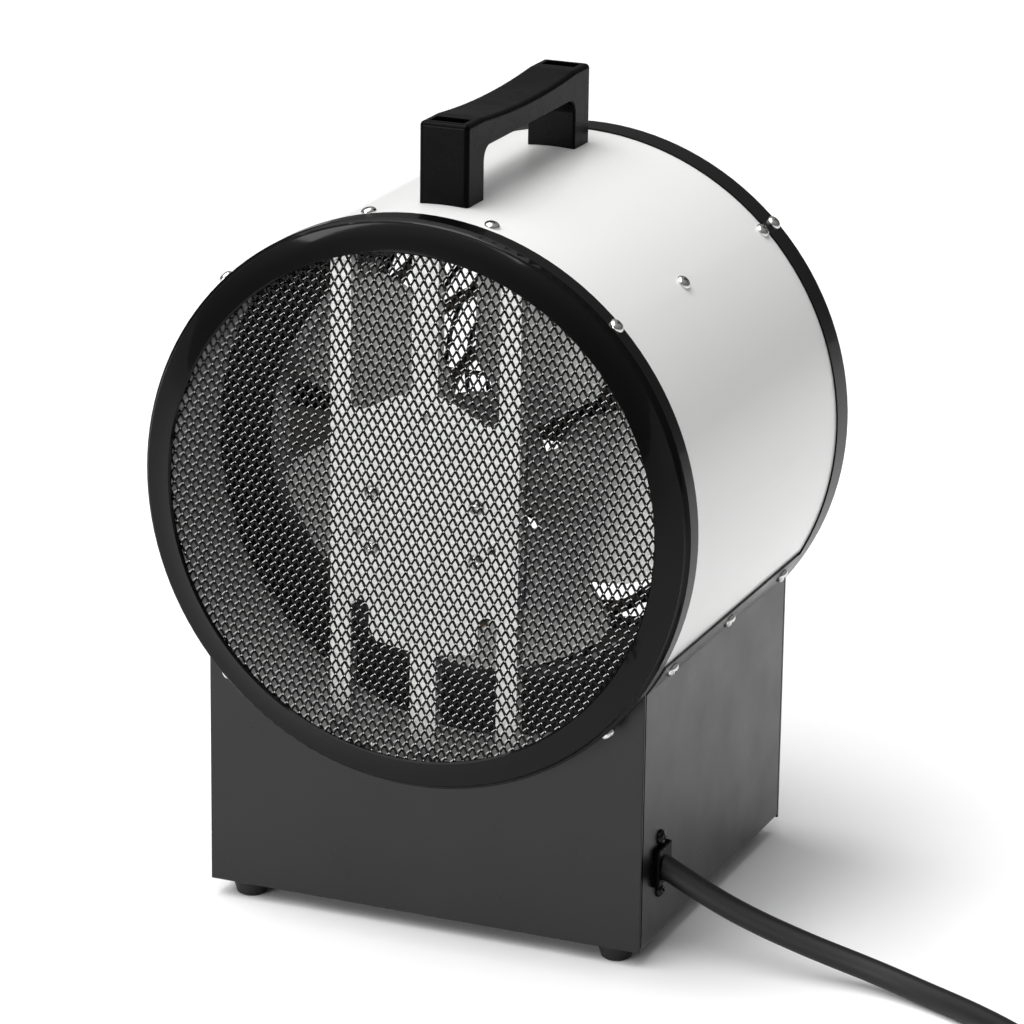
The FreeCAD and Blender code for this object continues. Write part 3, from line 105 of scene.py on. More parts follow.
# The finishes, by material slot or by a name of their own.
finishes = {
    # Semi-gloss powder coat on rolled steel: white under a clear skin, with a faint orange peel.
    "barrel_enamel": {
        "name": "white powder coat", "color": "#ebebea", "roughness": 0.30,
        "grain": {"size": 1.6, "detail": 1.0, "depth": 0.002},
        "sockets": {"Coat Weight": 0.3, "Coat Roughness": 0.08}},
    # Satin powder coat on base, panels and guard: near black, its sheen a little uneven.
    "black_enamel": {
        "name": "black powder coat", "color": "#060606", "roughness": 0.33,
        "grain": {"size": 1.1, "detail": 1.0, "depth": 0.006},
        "cloud": {"size": 30, "detail": 2.0, "roughness": (0.27, 0.36)},
        "sockets": {"Specular IOR Level": 0.36}},
    # The same coat on the two spun end rings, deeper, with a thin gloss along the rim.
    "ring coat": {
        "name": "black ring coat", "color": "#040404", "roughness": 0.34,
        "grain": {"size": 1.1, "detail": 1.0, "depth": 0.006},
        "sockets": {"Specular IOR Level": 0.05, "Coat Weight": 0.22, "Coat Roughness": 0.06}},
    # The same coat on the strands of the expanded mesh, where it dries matt.
    "mesh coat": {
        "name": "black mesh coat", "color": "#080808", "roughness": 0.50,
        "sockets": {"Specular IOR Level": 0.14}},
    # Folded edges of the mesh, tipped up to the sun: pale bare steel, a painted highlight that brightens the
    # glints the lamps give them.
    "mesh glints": {
        "name": "thin coat on mesh edges", "color": "#9c9c9b", "roughness": 0.34, "metallic": 1.0},
    # Moulded polyamide of handle, knobs and gland: black with a fine spark-eroded grain, drawn
    # at 0.7 mm because the real one, 0.1 mm, is too fine to show.
    "black_plastic": {
        "name": "grained black polyamide", "color": "#030303", "roughness": 0.26,
        "grain": {"size": 0.7, "detail": 3.0, "depth": 0.03},
        "cloud": {"size": 9, "detail": 2.0, "roughness": (0.22, 0.30)},
        "sockets": {"Specular IOR Level": 0.04}},
    # Bright zinc plating on pressed steel sheet: pale and softly clouded.
    "zinc_steel": {
        "name": "bright zinc plating", "color": "#e6e6e4", "roughness": 0.42, "metallic": 1.0,
        "cloud": {"size": 14, "detail": 4.0, "roughness": (0.38, 0.48), "tint": ("#dededd", "#ecece9")}},
    # Zinc on the liner and what holds the elements, darkened and browned: painted shade for the dim inside of
    # the drum, with a little real heat tint.
    "shade-darkened zinc": {"name": "heat-dulled zinc", "color": "#3f3b37", "roughness": 0.55, "metallic": 1.0},
    # Mill-finish aluminium of the blades: dull silver with its rolling grain along Z, drawn at
    # 0.5 mm because the real one, under 0.1 mm, is too fine to show.
    "blade_aluminium": {
        "name": "rolled aluminium", "color": "#ececea", "roughness": 0.55, "metallic": 1.0,
        "cloud": {"size": 0.5, "detail": 2.0, "stretch": (1, 1, 0.03), "roughness": (0.50, 0.60)}},
    # Nickel plating on the screws: bright and slightly warm.
    "screw_steel": {"name": "nickel plating", "color": "#cfcfcd", "roughness": 0.20, "metallic": 1.0},
    # Black zinc plating on the gland's screws: dark, still metallic.
    "black zinc": {"name": "black zinc plating", "color": "#262626", "roughness": 0.30, "metallic": 1.0},
    # Stainless sheath of the elements: straw to brown where it has run hot.
    "heater_sheath": {
        "name": "heat-tinted sheath", "color": "#6b6259", "roughness": 0.40, "metallic": 1.0,
        "cloud": {"size": 60, "detail": 2.0, "tint": ("#5d564f", "#7d7064")}},
    # Varnished motor laminations: dark, half metallic through the varnish.
    "lamination": {"name": "varnished laminations", "color": "#3c3c3f", "roughness": 0.42, "metallic": 0.6},
    # Insulating tape wound round the coil: yellowish, with soft ridges along X.
    "winding": {
        "name": "winding tape", "color": "#a8935c", "roughness": 0.6,
        "grain": {"size": 2.0, "detail": 2.0, "stretch": (0.2, 1, 1), "depth": 0.2}},
    # Sintered bronze of the bushes: dull brown metal.
    "bronze": {"name": "sintered bronze", "color": "#9a7140", "roughness": 0.45, "metallic": 1.0},
    # Glazed ceramic of the terminal block: cream and glossy.
    "pale_ceramic": {"name": "glazed ceramic", "color": "#d9d5c6", "roughness": 0.25},
    # Chloroprene rubber of cord, plug and feet: soft black with a slight unevenness.
    "black_rubber": {
        "name": "black rubber", "color": "#0a0a0a", "roughness": 0.50,
        "grain": {"size": 1.5, "detail": 2.0, "depth": 0.02},
        "sockets": {"Specular IOR Level": 0.3}},
    # Pad-printed ink of numbers, ticks and pointers: flat white.
    "white ink": {"name": "white printing ink", "color": "#e9e9e7", "roughness": 0.5},
}
paint = {key: finishOf(**rules) for key, rules in finishes.items()}

# The laminations' sheets, 0.5 mm thick and seen edge on, as ridges across the stack.
stack = paint["lamination"].node_tree
sheets = addNode(stack, "ShaderNodeTexWave", {
    "Vector": addNode(stack, "ShaderNodeTexCoord").outputs["Object"],
    "Scale": 1 / (math.pi * 0.5 * mm)}, bands_direction="Y")
ridges = addNode(stack, "ShaderNodeBump", {
    "Height": sheets.outputs["Fac"], "Distance": 0.1 * mm, "Strength": 1.0})
stack.links.new(ridges.outputs["Normal"], stack.nodes["Principled BSDF"].inputs["Normal"])


def painted(item, finish):
    item.data.materials.clear()
    item.data.materials.append(paint[finish])
    return item


# CAD nodes whose finish isn't the one of their slot. The liner, its spacers and the heater bracket take a
# painted shade.
ownFinishes = {"intake_ring": "ring coat", "outlet_ring": "ring coat", "heat_liner": "shade-darkened zinc",
               "liner_spacers": "shade-darkened zinc", "heater_bracket": "shade-darkened zinc"}
for part in frame["record"]["subparts"]:
    painted(cad[part["node"]], ownFinishes.get(part["node"], part["material_slot"]))
print("finishes", len(finishes))


def newObject(name, data, finish=None):
    item = bpy.data.objects.new(name, data)
    bpy.context.scene.collection.objects.link(item)
    return painted(item, finish) if finish else item


def meshFrom(name, points, faces):
    mesh = bpy.data.meshes.new(name)
    mesh.from_pydata([tuple(p) for p in points], [], faces)
    mesh.update()
    for polygon in mesh.polygons:
        polygon.use_smooth = True
    return mesh


# The object's evaluated shape as a plain mesh.
def meshOf(item):
    return bpy.data.meshes.new_from_object(item.evaluated_get(bpy.context.evaluated_depsgraph_get()))


# The object with its modifiers applied.
def baked(item):
    mesh = meshOf(item)
    item.modifiers.clear()
    item.data = mesh
    return item


# A mesh turned about Z from (radius, height) points in mm, closed at the axis.
def turned(name, profile, segments):
    points = []
    faces = []
    count = len(profile)
    for k in range(segments):
        turn = 2 * math.pi * k / segments
        points += [(r * mm * math.cos(turn), r * mm * math.sin(turn), z * mm) for r, z in profile]
        a = k * count
        b = (k + 1) % segments * count
        faces += [(a + i, b + i, b + i + 1, a + i + 1) for i in range(count - 1)]
    mesh = meshFrom(name, points, faces)
    shell = bmesh.new()
    shell.from_mesh(mesh)
    bmesh.ops.remove_doubles(shell, verts=shell.verts, dist=1e-7)
    bmesh.ops.recalc_face_normals(shell, faces=shell.faces)
    shell.to_mesh(mesh)
    shell.free()
    return mesh


def shadedByAngle(item, degrees):
    for polygon in item.data.polygons:
        polygon.use_smooth = True
    item.data.set_sharp_from_angle(angle=math.radians(degrees))
    return item


# Puts a finished piece on its body, in place of the CAD nodes it replaces.
def mounted(item, body, replaced=()):
    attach(item, body)
    if replaced:
        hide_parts(*replaced)
    return item


# Folded and sheared edges of sheet pieces, which catch a thin line of light.
edges = {"pieces": ("intake_panel", "motor_bracket"), "width": 0.45, "sharper than": 50}
for node in edges["pieces"]:
    weld = cad[node].modifiers.new("weld", "WELD")
    weld.merge_threshold = 0.001 * mm
    bevel = cad[node].modifiers.new("edge", "BEVEL")
    bevel.width = edges["width"] * mm
    bevel.segments = 2
    bevel.limit_method = "ANGLE"
    bevel.angle_limit = math.radians(edges["sharper than"])
print("edges", len(edges["pieces"]))

# The camera, by its axes and place.
view = {"right": (0.9208219, 0.38977965, 0.0126038), "up": (-0.13084713, 0.27834718, 0.95152608),
        "back": (0.36737727, -0.87783522, 0.30730973), "location": (0.87206, -2.07245, 0.91953),
        "lens": 162.57, "sensor": 36, "far": 60}
camera = newObject("camera", bpy.data.cameras.new("camera"))
viewAxes = Matrix([Vector(view[side]) for side in ("right", "up", "back")]).transposed()
camera.matrix_world = viewAxes.to_4x4()
camera.location = view["location"]
camera.data.lens = view["lens"]
camera.data.sensor_width = view["sensor"]
camera.data.clip_end = view["far"]
bpy.context.scene.camera = camera
print("camera set")

# The mains cord, in mm and degrees: from the gland at a slope, down to the floor, two turns beside
# and on each other, and a tail to the plug. The turns start at the coil's right and run clockwise
# seen from above. Between the degrees given by "inward", "climb" and "outward" they move over.
cord = {"radius": 6, "gland": (121.2, -74.6, 46.5), "slope": 27, "straight": (110, 132),
        "down": ((160, -74.4, 28.4), (195, -73.2, 17.6), (231, -73.0, 9.6), (262, -82.0, 6.2),
                 (292, -96.0, 6.0), (322, -115.0, 6.0), (349, -138.5, 6.0), (370, -164.0, 6.0),
                 (385.5, -194.0, 6.0)),
        "coil": (317, -228, 0), "first turn": 77.0, "second turn": 65.0, "last turn": 71.0,
        "low": 6.0, "high": 16.5, "inward": (295, 360), "climb": (560, 650), "outward": (655, 720),
        "turned": 795, "step": 15,
        "tail": ((-8, -71.4, 17.0), (-36, -70.6, 18.2), (-64, -70.0, 19.0))}
coilCenter = Vector(cord["coil"]) * mm
glandX, glandY, glandZ = cord["gland"]
fall = math.tan(math.radians(cord["slope"]))
route = [Vector((x * mm, glandY * mm, (glandZ - (x - glandX) * fall) * mm)) for x in cord["straight"]]
route += [Vector(spot) * mm for spot in cord["down"]]


# A point of the lying coil, by degrees from its entry.
def coilPoint(turn):
    def eased(start, end):
        share = min(max((turn - start) / (end - start), 0), 1)
        return share * share * (3 - 2 * share)

    radius = (cord["first turn"] + (cord["second turn"] - cord["first turn"]) * eased(*cord["inward"])
              + (cord["last turn"] - cord["second turn"]) * eased(*cord["outward"]))
    radius /= math.cos(math.radians(cord["step"] / 2)) ** 0.5  # the spline cuts each corner of its route
    height = cord["low"] + (cord["high"] - cord["low"]) * eased(*cord["climb"])
    angle = math.radians(turn)
    return coilCenter + Vector((radius * math.cos(angle), -radius * math.sin(angle), height)) * mm


route += [coilPoint(turn) for turn in range(0, cord["turned"] + 1, cord["step"])]
route += [coilCenter + Vector(spot) * mm for spot in cord["tail"]]
curve = bpy.data.curves.new("mains_cord", "CURVE")
curve.dimensions = "3D"
curve.bevel_depth = cord["radius"] * mm
curve.bevel_resolution = 6
curve.use_fill_caps = True
curve.use_path = False
spline = curve.splines.new("NURBS")
spline.points.add(len(route) - 1)
for point, spot in zip(spline.points, route):
    point.co = (*spot, 1.0)
spline.order_u = 3
spline.use_endpoint_u = True
spline.resolution_u = 6
mainsCord = newObject("mains_cord", curve, "black_rubber")
mounted(mainsCord, "housing", ["supply_cord", "cord_coil", "cord_tail"])


# A Geometry Nodes group with a geometry output and the given inputs, name to socket type.
def newGroup(name, sockets):
    group = bpy.data.node_groups.new(name, "GeometryNodeTree")
    group.interface.new_socket("Geometry", in_out="OUTPUT", socket_type="NodeSocketGeometry")
    for key, kind in sockets.items():
        group.interface.new_socket(key, in_out="INPUT", socket_type=kind)
    return group, addNode(group, "NodeGroupInput").outputs


# Realises the instances, gives them their finish and sends them out.
def endGroup(group, geometry, finish):
    real = addNode(group, "GeometryNodeRealizeInstances", {"Geometry": geometry})
    coated = addNode(group, "GeometryNodeSetMaterial", {"Geometry": real, "Material": paint[finish]})
    addNode(group, "NodeGroupOutput", {"Geometry": coated})
    return group


# The expanded intake mesh, in mm and degrees. Four strands meet at a knuckle, and those that lean
# one way are wider than the others. The lips are the strands' folded edges, which stand off it; their
# pale finish is a painted highlight at each knuckle.
expandedSheet = {
    "lattice": {"Pitch": 4.71, "Rise": 8.03, "Radius": 131.2, "Skew": 2.4}, "plane": -118.6,
    "strands": {"Strand Width": 1.22, "Cross Width": 1.0, "Strand Depth": 0.5},
    "knuckle": (1.3, 1.7),  # across and up, in strand widths
    "lips": {"Lip Width": 0.36, "Lip Depth": 0.12, "Lip Height": 0.55}, "tip": -42,
    "lip bars": ({"long": 2.7, "turn": -38, "at": (-0.98, -0.35)},
                 {"long": 0.95, "turn": 50, "at": (0.32, 0.4)})}


# The strands or the lips of the sheet, at every knuckle within its radius.
def latticeGroup(name, form, sizes, finish):
    group, given = newGroup(name, dict.fromkeys(sizes, "NodeSocketFloat"))
    grid = addNode(group, "GeometryNodeMeshGrid")
    for axis, side, perCell in (("X", "Pitch", 1.0), ("Y", "Rise", 2.0)):
        cells = addNode(group, "ShaderNodeMath", {0: given["Radius"], 1: given[side]}, operation="DIVIDE")
        whole = addNode(group, "ShaderNodeMath", {0: cells}, operation="CEIL")
        both = addNode(group, "ShaderNodeMath", {0: whole, 1: 2.0}, operation="MULTIPLY")
        lines = addNode(group, "ShaderNodeMath", {0: both, 1: perCell, 2: 1.0}, operation="MULTIPLY_ADD")
        size = addNode(group, "ShaderNodeMath", {0: both, 1: given[side]}, operation="MULTIPLY")
        group.links.new(size.outputs[0], grid.inputs["Size " + axis])
        group.links.new(lines.outputs[0], grid.inputs["Vertices " + axis])
    # Every second row moves over by half a pitch.
    halfPitch = addNode(group, "ShaderNodeMath", {0: given["Pitch"], 1: 0.5}, operation="MULTIPLY")
    halfRise = addNode(group, "ShaderNodeMath", {0: given["Rise"], 1: 0.5}, operation="MULTIPLY")
    position = addNode(group, "GeometryNodeInputPosition")
    place = addNode(group, "ShaderNodeSeparateXYZ", {0: position})
    row = addNode(group, "ShaderNodeMath", {0: place.outputs["Y"], 1: halfRise}, operation="DIVIDE")
    row = addNode(group, "ShaderNodeMath", {0: row}, operation="ROUND")
    odd = addNode(group, "ShaderNodeMath", {0: row, 1: 2.0}, operation="FLOORED_MODULO")
    over = addNode(group, "ShaderNodeMath", {0: odd, 1: halfPitch}, operation="MULTIPLY")
    shift = addNode(group, "ShaderNodeCombineXYZ", {"X": over})
    knuckles = addNode(group, "GeometryNodeSetPosition", {"Geometry": grid, "Offset": shift})
    distance = addNode(group, "ShaderNodeVectorMath", {0: position}, operation="LENGTH")
    outside = addNode(group, "FunctionNodeCompare", {
        "A": distance.outputs["Value"], "B": given["Radius"]}, data_type="FLOAT", operation="GREATER_THAN")
    kept = addNode(group, "GeometryNodeDeleteGeometry", {
        "Geometry": knuckles, "Selection": outside}, domain="POINT")
    joined = addNode(group, "GeometryNodeJoinGeometry")

    # A flat bar, turned in the sheet's plane, tipped out of it and moved to its spot.
    def bar(width, tall, depth, turn, spot, tip=0.0):
        size = addNode(group, "ShaderNodeCombineXYZ", {"X": width, "Y": tall, "Z": depth})
        box = addNode(group, "GeometryNodeMeshCube", {"Size": size})
        swing = addNode(group, "ShaderNodeCombineXYZ", {"Z": turn})
        swung = addNode(group, "GeometryNodeTransform", {"Geometry": box, "Rotation": swing})
        placed = addNode(group, "GeometryNodeTransform", {
            "Geometry": swung, "Translation": spot, "Rotation": (tip, 0.0, 0.0)})
        group.links.new(placed.outputs[0], joined.inputs[0])

    if form == "strands":
        reach = addNode(group, "ShaderNodeCombineXYZ", {"X": halfPitch, "Y": halfRise})
        strand = addNode(group, "ShaderNodeVectorMath", {0: reach}, operation="LENGTH").outputs["Value"]
        lean = addNode(group, "ShaderNodeMath", {0: halfPitch, 1: halfRise}, operation="ARCTAN2")
        for side, width in ((-1.0, "Strand Width"), (1.0, "Cross Width")):
            spot = addNode(group, "ShaderNodeVectorMath", {
                0: reach, 1: (side * 0.5, 0.5, 0.0)}, operation="MULTIPLY")
            turn = addNode(group, "ShaderNodeMath", {0: lean, 1: -side}, operation="MULTIPLY")
            bar(given[width], strand, given["Strand Depth"], turn, spot)
        across, up = (addNode(group, "ShaderNodeMath", {0: given["Strand Width"], 1: times},
                              operation="MULTIPLY") for times in expandedSheet["knuckle"])
        bar(across, up, given["Strand Depth"], 0.0, (0.0, 0.0, 0.0))
    else:
        for lip in expandedSheet["lip bars"]:
            x, y = lip["at"]
            spot = addNode(group, "ShaderNodeCombineXYZ", {
                "X": x * mm, "Y": y * mm, "Z": given["Lip Height"]})
            bar(given["Lip Width"], lip["long"] * mm, given["Lip Depth"], math.radians(lip["turn"]), spot,
                math.radians(expandedSheet["tip"]))
    placed = addNode(group, "GeometryNodeInstanceOnPoints", {"Points": kept, "Instance": joined})
    back = addNode(group, "ShaderNodeMath", {0: given["Skew"], 1: -1.0}, operation="MULTIPLY")
    skew = addNode(group, "ShaderNodeCombineXYZ", {"Z": back})
    skewed = addNode(group, "GeometryNodeTransform", {"Geometry": placed, "Rotation": skew})
    upright = addNode(group, "GeometryNodeTransform", {
        "Geometry": skewed, "Rotation": (math.pi / 2, 0.0, 0.0),
        "Translation": (0.0, expandedSheet["plane"] * mm, axisHeight)})
    return endGroup(group, upright, finish)


def expanded(name, form, finish):
    sizes = expandedSheet["lattice"] | expandedSheet[form]
    item = newObject(name, bpy.data.meshes.new(name))
    modifier = item.modifiers.new("expanded", "NODES")
    modifier.node_group = latticeGroup(name, form, sizes, finish)
    for socket in modifier.node_group.interface.items_tree:
        if socket.in_out == "INPUT":
            size = sizes[socket.name]
            modifier[socket.identifier] = math.radians(size) if socket.name == "Skew" else size * mm
    print(name, "faces", len(baked(item).data.polygons))
    return item


mounted(expanded("expanded_intake_mesh", "strands", "mesh coat"), "housing",
        ["intake_mesh"])
# The lips, in pale steel: a painted highlight on the mesh's knuckles.
mounted(expanded("mesh_edge_lips", "lips", "mesh glints"), "housing")

# A pan-head screw in mm: its head from the middle outwards, its shank's radii, and a cross recess.
panHead = {"head": ((0, 2.6), (1.2, 2.56), (2.3, 2.35), (3.2, 1.85), (3.8, 1.1), (4.0, 0.4), (3.95, 0)),
           "shank": 2.0, "point": 1.3, "taper": 0.8, "segments": 28, "sharper than": 32,
           "recess": (1.0, 4.4), "recess height": 3.0, "recess middle": 2.7,
           "first spin": 0.9, "spin": 2.4}  # radians from screw to screw, so that no two look alike


# A screw whose head stands on z = 0.
def panHeadScrew(length):
    profile = list(panHead["head"]) + [
        (panHead["shank"], 0), (panHead["shank"], -length + panHead["taper"]),
        (panHead["point"], -length), (0, -length)]
    screw = newObject("screw", turned("screw", profile, panHead["segments"]))
    cutter = bmesh.new()
    for across, along in (panHead["recess"], panHead["recess"][::-1]):
        box = bmesh.ops.create_cube(cutter, size=1.0)["verts"]
        bmesh.ops.scale(cutter, vec=Vector((across, along, panHead["recess height"])) * mm, verts=box)
        bmesh.ops.translate(cutter, vec=Vector((0, 0, panHead["recess middle"])) * mm, verts=box)
    recess = newObject("recess", bpy.data.meshes.new("recess"))
    cutter.to_mesh(recess.data)
    cutter.free()
    cut = screw.modifiers.new("recess", "BOOLEAN")
    cut.object = recess
    cut.operation = "DIFFERENCE"
    cut.solver = "EXACT"
    cut.use_self = True
    baked(screw)
    bpy.data.objects.remove(recess)
    return shadedByAngle(screw, panHead["sharper than"])


# The screw at every point, its Z along `outward` and turned about it by `spin`.
def scatterGroup(template, finish):
    group, given = newGroup("set screws", {"Geometry": "NodeSocketGeometry"})
    outward = addNode(group, "GeometryNodeInputNamedAttribute", {"Name": "outward"}, data_type="FLOAT_VECTOR")
    spin = addNode(group, "GeometryNodeInputNamedAttribute", {"Name": "spin"}, data_type="FLOAT")
    aligned = addNode(group, "FunctionNodeAlignRotationToVector", {"Vector": outward}, axis="Z")
    about = addNode(group, "FunctionNodeAxisAngleToRotation", {"Axis": (0.0, 0.0, 1.0), "Angle": spin})
    rotation = addNode(group, "FunctionNodeRotateRotation", {
        "Rotation": aligned, "Rotate By": about}, rotation_space="LOCAL")
    info = addNode(group, "GeometryNodeObjectInfo", {"Object": template})
    placed = addNode(group, "GeometryNodeInstanceOnPoints", {
        "Points": given["Geometry"], "Instance": info.outputs["Geometry"], "Rotation": rotation})
    return endGroup(group, placed, finish)


# Seats on circles about the drum's axis, by row along Y and angle in each row.
def aroundDrum(radius, rows, angles):
    seats = []
    for y in rows:
        for angle in angles:
            outward = Vector((math.cos(math.radians(angle)), 0, math.sin(math.radians(angle))))
            seats.append((Vector((0, y * mm, axisHeight)) + outward * radius * mm, outward))
    return seats


# Seats on a flat, facing one way, by their places in mm above `base` in metres.
def onFlat(places, facing, base=0.0):
    return [(Vector((x * mm, y * mm, base + z * mm)), Vector(facing)) for x, y, z in places]


ductAngles = (45, 135, -67, 247)  # clear of the base
screwSets = {
    "ring_pan_screws": {"node": "ring_screws", "length": 6,
                        "seats": aroundDrum(145.0, (-109.2, 109.4), (45, 135, 225, 315))},
    "shroud_pan_screws": {"node": "shroud_screws", "length": 6,
                          "seats": aroundDrum(144.0, (-18.6,), ductAngles)},
    "liner_pan_screws": {"node": "liner_screws", "length": 15,
                         "seats": aroundDrum(144.0, (94.4,), ductAngles)},
    "saddle_pan_screws": {"node": "saddle_screws", "length": 6,
                          "seats": aroundDrum(145.3, [195.0 * share - 97.6 for share in (0.09, 0.5, 0.9)],
                                              (-31.5, 211.5))},
    "bracket_pan_screws": {"node": "bracket_screws", "length": 6,
                           "seats": aroundDrum(144.0, (-95.6,), (77, 103))
                           + aroundDrum(144.0, (-91.6,), (-77, -103))},
    "handle_pan_screws": {"node": "handle_screws", "length": 19,
                          "seats": onFlat([(0, y, 158.4) for y in (-72.0, 68.0)], (0, 0, 1), axisHeight)},
    "motor_bolts_cross": {"node": "motor_bolts", "length": 45,
                          "seats": onFlat([(x, -100.6, z) for x in (28, -28) for z in (0, -28)],
                                          (0, -1, 0), axisHeight)},
    "foot_pan_screws": {"node": "foot_screws", "length": 9.5,
                        "seats": onFlat([(x, y, 4.5) for x in (101, -101) for y in (-87.6, 90.2)],
                                        (0, 0, -1))},
    "panel_pan_screws": {"node": "panel_screws", "length": 6,
                         "seats": onFlat([(x, y, 9) for x in (70.8, -70.8) for y in (-91.3, 93.9)],
                                         (0, 0, -1))},
    "gland_pan_screws": {"node": "gland_screws", "length": 7, "finish": "black zinc",
                         "seats": onFlat([(118, -74.6, z) for z in (34, 62)], (1, 0, 0))},
}
for name, rules in screwSets.items():
    template = panHeadScrew(rules["length"])
    points = bpy.data.meshes.new(name)
    points.from_pydata([spot for spot, outward in rules["seats"]], [], [])
    points.attributes.new("outward", "FLOAT_VECTOR", "POINT")
    points.attributes.new("spin", "FLOAT", "POINT")
    for index, (spot, outward) in enumerate(rules["seats"]):
        points.attributes["outward"].data[index].vector = outward
        points.attributes["spin"].data[index].value = panHead["first spin"] + index * panHead["spin"]
    screws = newObject(name, points)
    finish = rules.get("finish", "screw_steel")
    screws.modifiers.new("set", "NODES").node_group = scatterGroup(template, finish)
    baked(screws)
    bpy.data.objects.remove(template)
    mounted(screws, "housing", [rules["node"]])
print("screw sets", len(screwSets))

# The outlet guard in mm: rings of wire on spokes, and a disc over the inner ring.
guard = {"wire": 2.6, "outer": 131.7, "first": 24.0, "step": 12.0, "rings": 9, "spokes": 6,
         "corners": 96, "front": 119.2, "disc": ((0, 0), (23.0, 0), (23.8, 0.4), (23.8, 1.5), (0, 1.5)),
         "weld": 0.1}  # how far rings and spokes sink into each other, in wire thicknesses
ringPlane = guard["front"] - guard["wire"] / 2
spokePlane = ringPlane - guard["wire"] * (1 - guard["weld"])
wires = bpy.data.curves.new("wire_guard", "CURVE")
wires.dimensions = "3D"
wires.bevel_depth = guard["wire"] / 2 * mm
wires.bevel_resolution = 3


# A wire through (radius, turn) points in one plane.
def addWire(spots, plane, closed):
    spline = wires.splines.new("POLY")
    spline.points.add(len(spots) - 1)
    spline.use_cyclic_u = closed
    for point, (radius, turn) in zip(spline.points, spots):
        point.co = (radius * mm * math.cos(turn), plane * mm, axisHeight + radius * mm * math.sin(turn), 1)


for radius in [guard["first"] + guard["step"] * k for k in range(guard["rings"])] + [guard["outer"]]:
    addWire([(radius, 2 * math.pi * k / guard["corners"]) for k in range(guard["corners"])], ringPlane, True)
for k in range(guard["spokes"]):
    turn = math.radians(360 / guard["spokes"] * k)
    addWire([(guard["first"] - 1, turn), (guard["outer"], turn)], spokePlane, False)
wireCurve = newObject("wire_curve", wires)
wireGuard = shadedByAngle(newObject("wire_guard", meshOf(wireCurve), "black_enamel"), 50)
bpy.data.objects.remove(wireCurve)
hubDisc = newObject("guard_disc", turned("guard_disc", guard["disc"], 64), "black_enamel")
upright = Matrix.Rotation(math.pi / 2, 4, "X")
hubDisc.data.transform(Matrix.Translation((0, ringPlane * mm, axisHeight)) @ upright)
shadedByAngle(hubDisc, 35)
mounted(hubDisc, "housing")
mounted(wireGuard, "housing", ["outlet_guard"])
print("guard wires", len(wires.splines))

# The dials' printing in mm: ticks and numbers on the panel, a pointer on each knob.
dials = {"face": 102.6, "height": 46.5, "numbers at": 27.0, "number": 5.8, "ink": 0.05,
         "tick": {"from": 20.6, "to": 23.2, "wide": 0.7, "deep": 0.1},
         "pointer": {"wide": 1.6, "deep": 0.2, "long": 9.5, "face": 120.6, "above": 9.0},
         "knobs": {"heat_selector": {"x": -55.0, "steps": 4}, "thermostat_dial": {"x": 55.0, "steps": 7}},
         "degrees": 45}


# A printed bar standing at its middle, turned about Y.
def inkBar(name, size, spot, turn):
    shell = bmesh.new()
    bmesh.ops.create_cube(shell, size=1.0)
    shell.transform(Matrix.Translation(spot) @ Matrix.Rotation(turn, 4, "Y") @ Matrix.Diagonal((*size, 1)))
    mesh = bpy.data.meshes.new(name)
    shell.to_mesh(mesh)
    shell.free()
    return newObject(name, mesh, "white ink")


# A printed number, read from +Y.
def inkNumber(label, spot):
    text = bpy.data.curves.new("number", "FONT")
    text.body = label
    text.size = dials["number"] * mm
    text.extrude = dials["ink"] * mm
    text.align_x = "CENTER"
    text.align_y = "CENTER"
    lettering = newObject("number", text)
    mesh = meshOf(lettering)
    bpy.data.objects.remove(lettering)
    mesh.transform(Matrix.Translation(spot) @ Matrix.Rotation(math.pi, 4, "Z") @ upright)
    return newObject("number", mesh)


tick, pointer = dials["tick"], dials["pointer"]
for body, knob in dials["knobs"].items():
    prints = []
    center = Vector((knob["x"], dials["face"], dials["height"])) * mm
    for step in range(knob["steps"]):
        turn = -math.radians(dials["degrees"] * step)
        toward = Vector((math.sin(turn), 0, math.cos(turn)))
        size = (tick["wide"] * mm, tick["deep"] * mm, (tick["to"] - tick["from"]) * mm)
        prints.append(inkBar("tick", size, center + toward * (tick["from"] + tick["to"]) / 2 * mm, turn))
        prints.append(inkNumber(str(step), center + toward * dials["numbers at"] * mm))
    shell = bmesh.new()
    for item in prints:
        shell.from_mesh(item.data)
        bpy.data.objects.remove(item)
    mesh = bpy.data.meshes.new(body + "_print")
    shell.to_mesh(mesh)
    shell.free()
    mounted(newObject(body + "_print", mesh, "white ink"), "housing")
    spot = Vector((knob["x"], pointer["face"], dials["height"] + pointer["above"])) * mm
    size = (pointer["wide"] * mm, pointer["deep"] * mm, pointer["long"] * mm)
    mounted(inkBar(body + "_pointer", size, spot, 0), body)
print("dials printed")
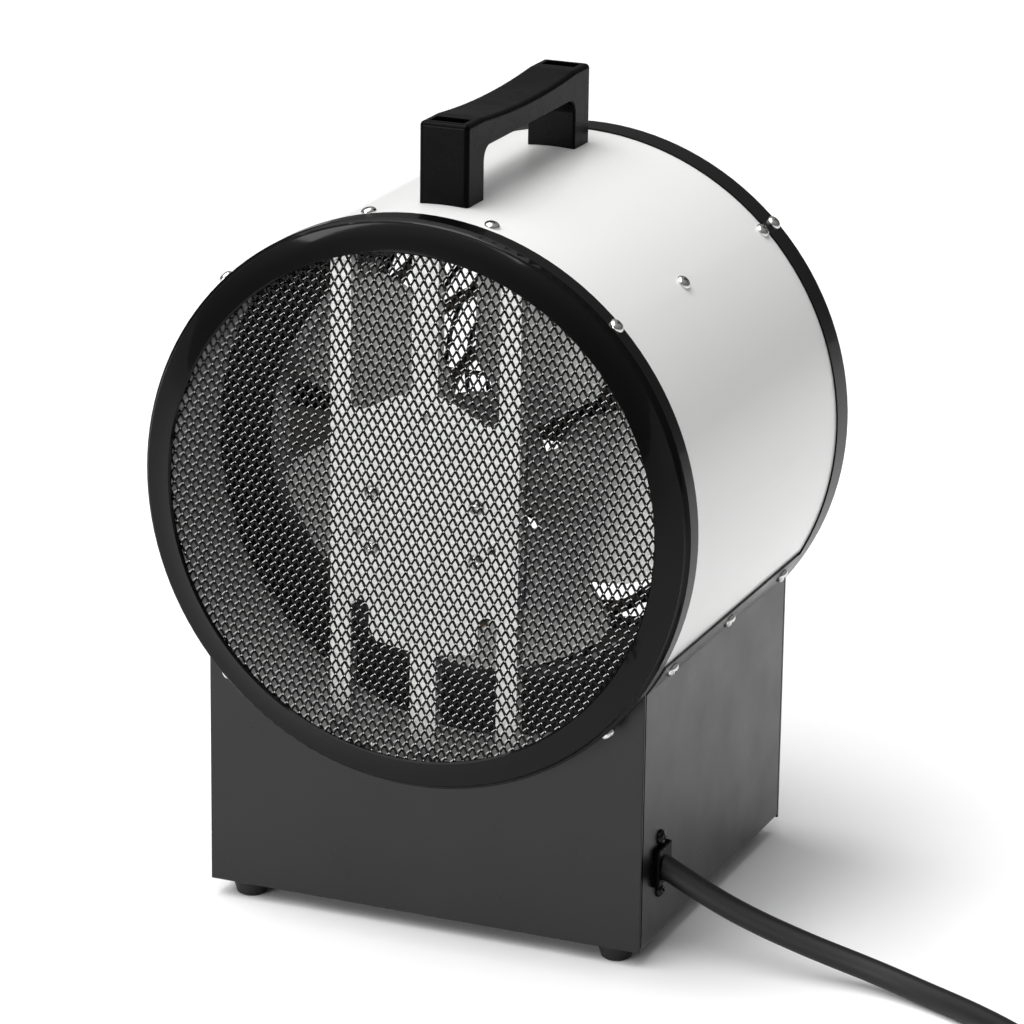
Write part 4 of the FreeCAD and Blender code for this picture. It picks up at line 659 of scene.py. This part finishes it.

# A pale matt studio floor in metres, greyer where it runs off to the front and to the right, out of the
# frame: painted shade that cuts the light it throws back on the drum. Over it a plain grey sky, brightest
# overhead.
studio = {"half": 6, "floor": "#fcfcfc", "painted shade floor": "#c2c2c2", "front fade": (-1.5, -0.5),
          "right fade": (0.7, 1.5), "sky": (0.12, 0.42), "overhead": 0.9}
paint["floor"] = finishOf("studio floor", studio["floor"], 0.6)
tree = paint["floor"].node_tree
place = addNode(tree, "ShaderNodeSeparateXYZ", {0: addNode(tree, "ShaderNodeTexCoord").outputs["Object"]})
low, high = studio["front fade"]
behind = addNode(tree, "ShaderNodeMapRange", {
    "Value": place.outputs["Y"], "From Min": low, "From Max": high})
low, high = studio["right fade"]
leftwards = addNode(tree, "ShaderNodeMapRange", {
    "Value": place.outputs["X"], "From Min": low, "From Max": high, "To Min": 1.0, "To Max": 0.0})
near = addNode(tree, "ShaderNodeMath", {0: behind, 1: leftwards}, operation="MULTIPLY")
shade = addNode(tree, "ShaderNodeMix", {
    "Factor": near, 6: colorOf(studio["painted shade floor"]), 7: colorOf(studio["floor"])}, data_type="RGBA")
tree.links.new(shade.outputs[2], tree.nodes["Principled BSDF"].inputs["Base Color"])
half = studio["half"]
corners = [(-half, -half, 0), (half, -half, 0), (half, half, 0), (-half, half, 0)]
floor = newObject("floor", meshFrom("floor", corners, [(0, 1, 2, 3)]), "floor")
world = bpy.data.worlds.new("studio")
world.use_nodes = True
bpy.context.scene.world = world
sky = world.node_tree
toward = addNode(sky, "ShaderNodeSeparateXYZ", {0: addNode(sky, "ShaderNodeTexCoord").outputs["Generated"]})
low, high = studio["sky"]
glow = addNode(sky, "ShaderNodeMapRange", {
    "Value": toward.outputs["Z"], "From Max": studio["overhead"], "To Min": low, "To Max": high})
sky.links.new(glow.outputs["Result"], sky.nodes["Background"].inputs["Color"])
print("studio set")

# The lamps: a wide soft sun overhead, and two softboxes in metres and watts.
overhead = {"strength": 2.8, "angle": 70, "direction": (0.34, 0.38, -0.92)}
softboxes = {"top": {"at": (-0.3, 0.1, 1.9), "target": (0, 0, 0.3), "size": (0.9, 0.7), "power": 11},
             "front": {"at": (-1.05, -2.5, 0.45), "target": (0, 0, 0.22), "size": (1.3, 0.8), "power": 34}}
sun = newObject("overhead", bpy.data.lights.new("overhead", "SUN"))
sun.data.energy = overhead["strength"]
sun.data.angle = math.radians(overhead["angle"])
sun.rotation_euler = Vector(overhead["direction"]).to_track_quat("-Z", "Y").to_euler()
for name, rules in softboxes.items():
    softbox = newObject(name, bpy.data.lights.new(name, "AREA"))
    softbox.data.shape = "RECTANGLE"
    softbox.data.size, softbox.data.size_y = rules["size"]
    softbox.data.energy = rules["power"]
    softbox.location = rules["at"]
    aim = Vector(rules["target"]) - Vector(rules["at"])
    softbox.rotation_euler = aim.to_track_quat("-Z", "Y").to_euler()
bpy.context.scene.view_settings.view_transform = "Standard"
print("lamps", 1 + len(softboxes))
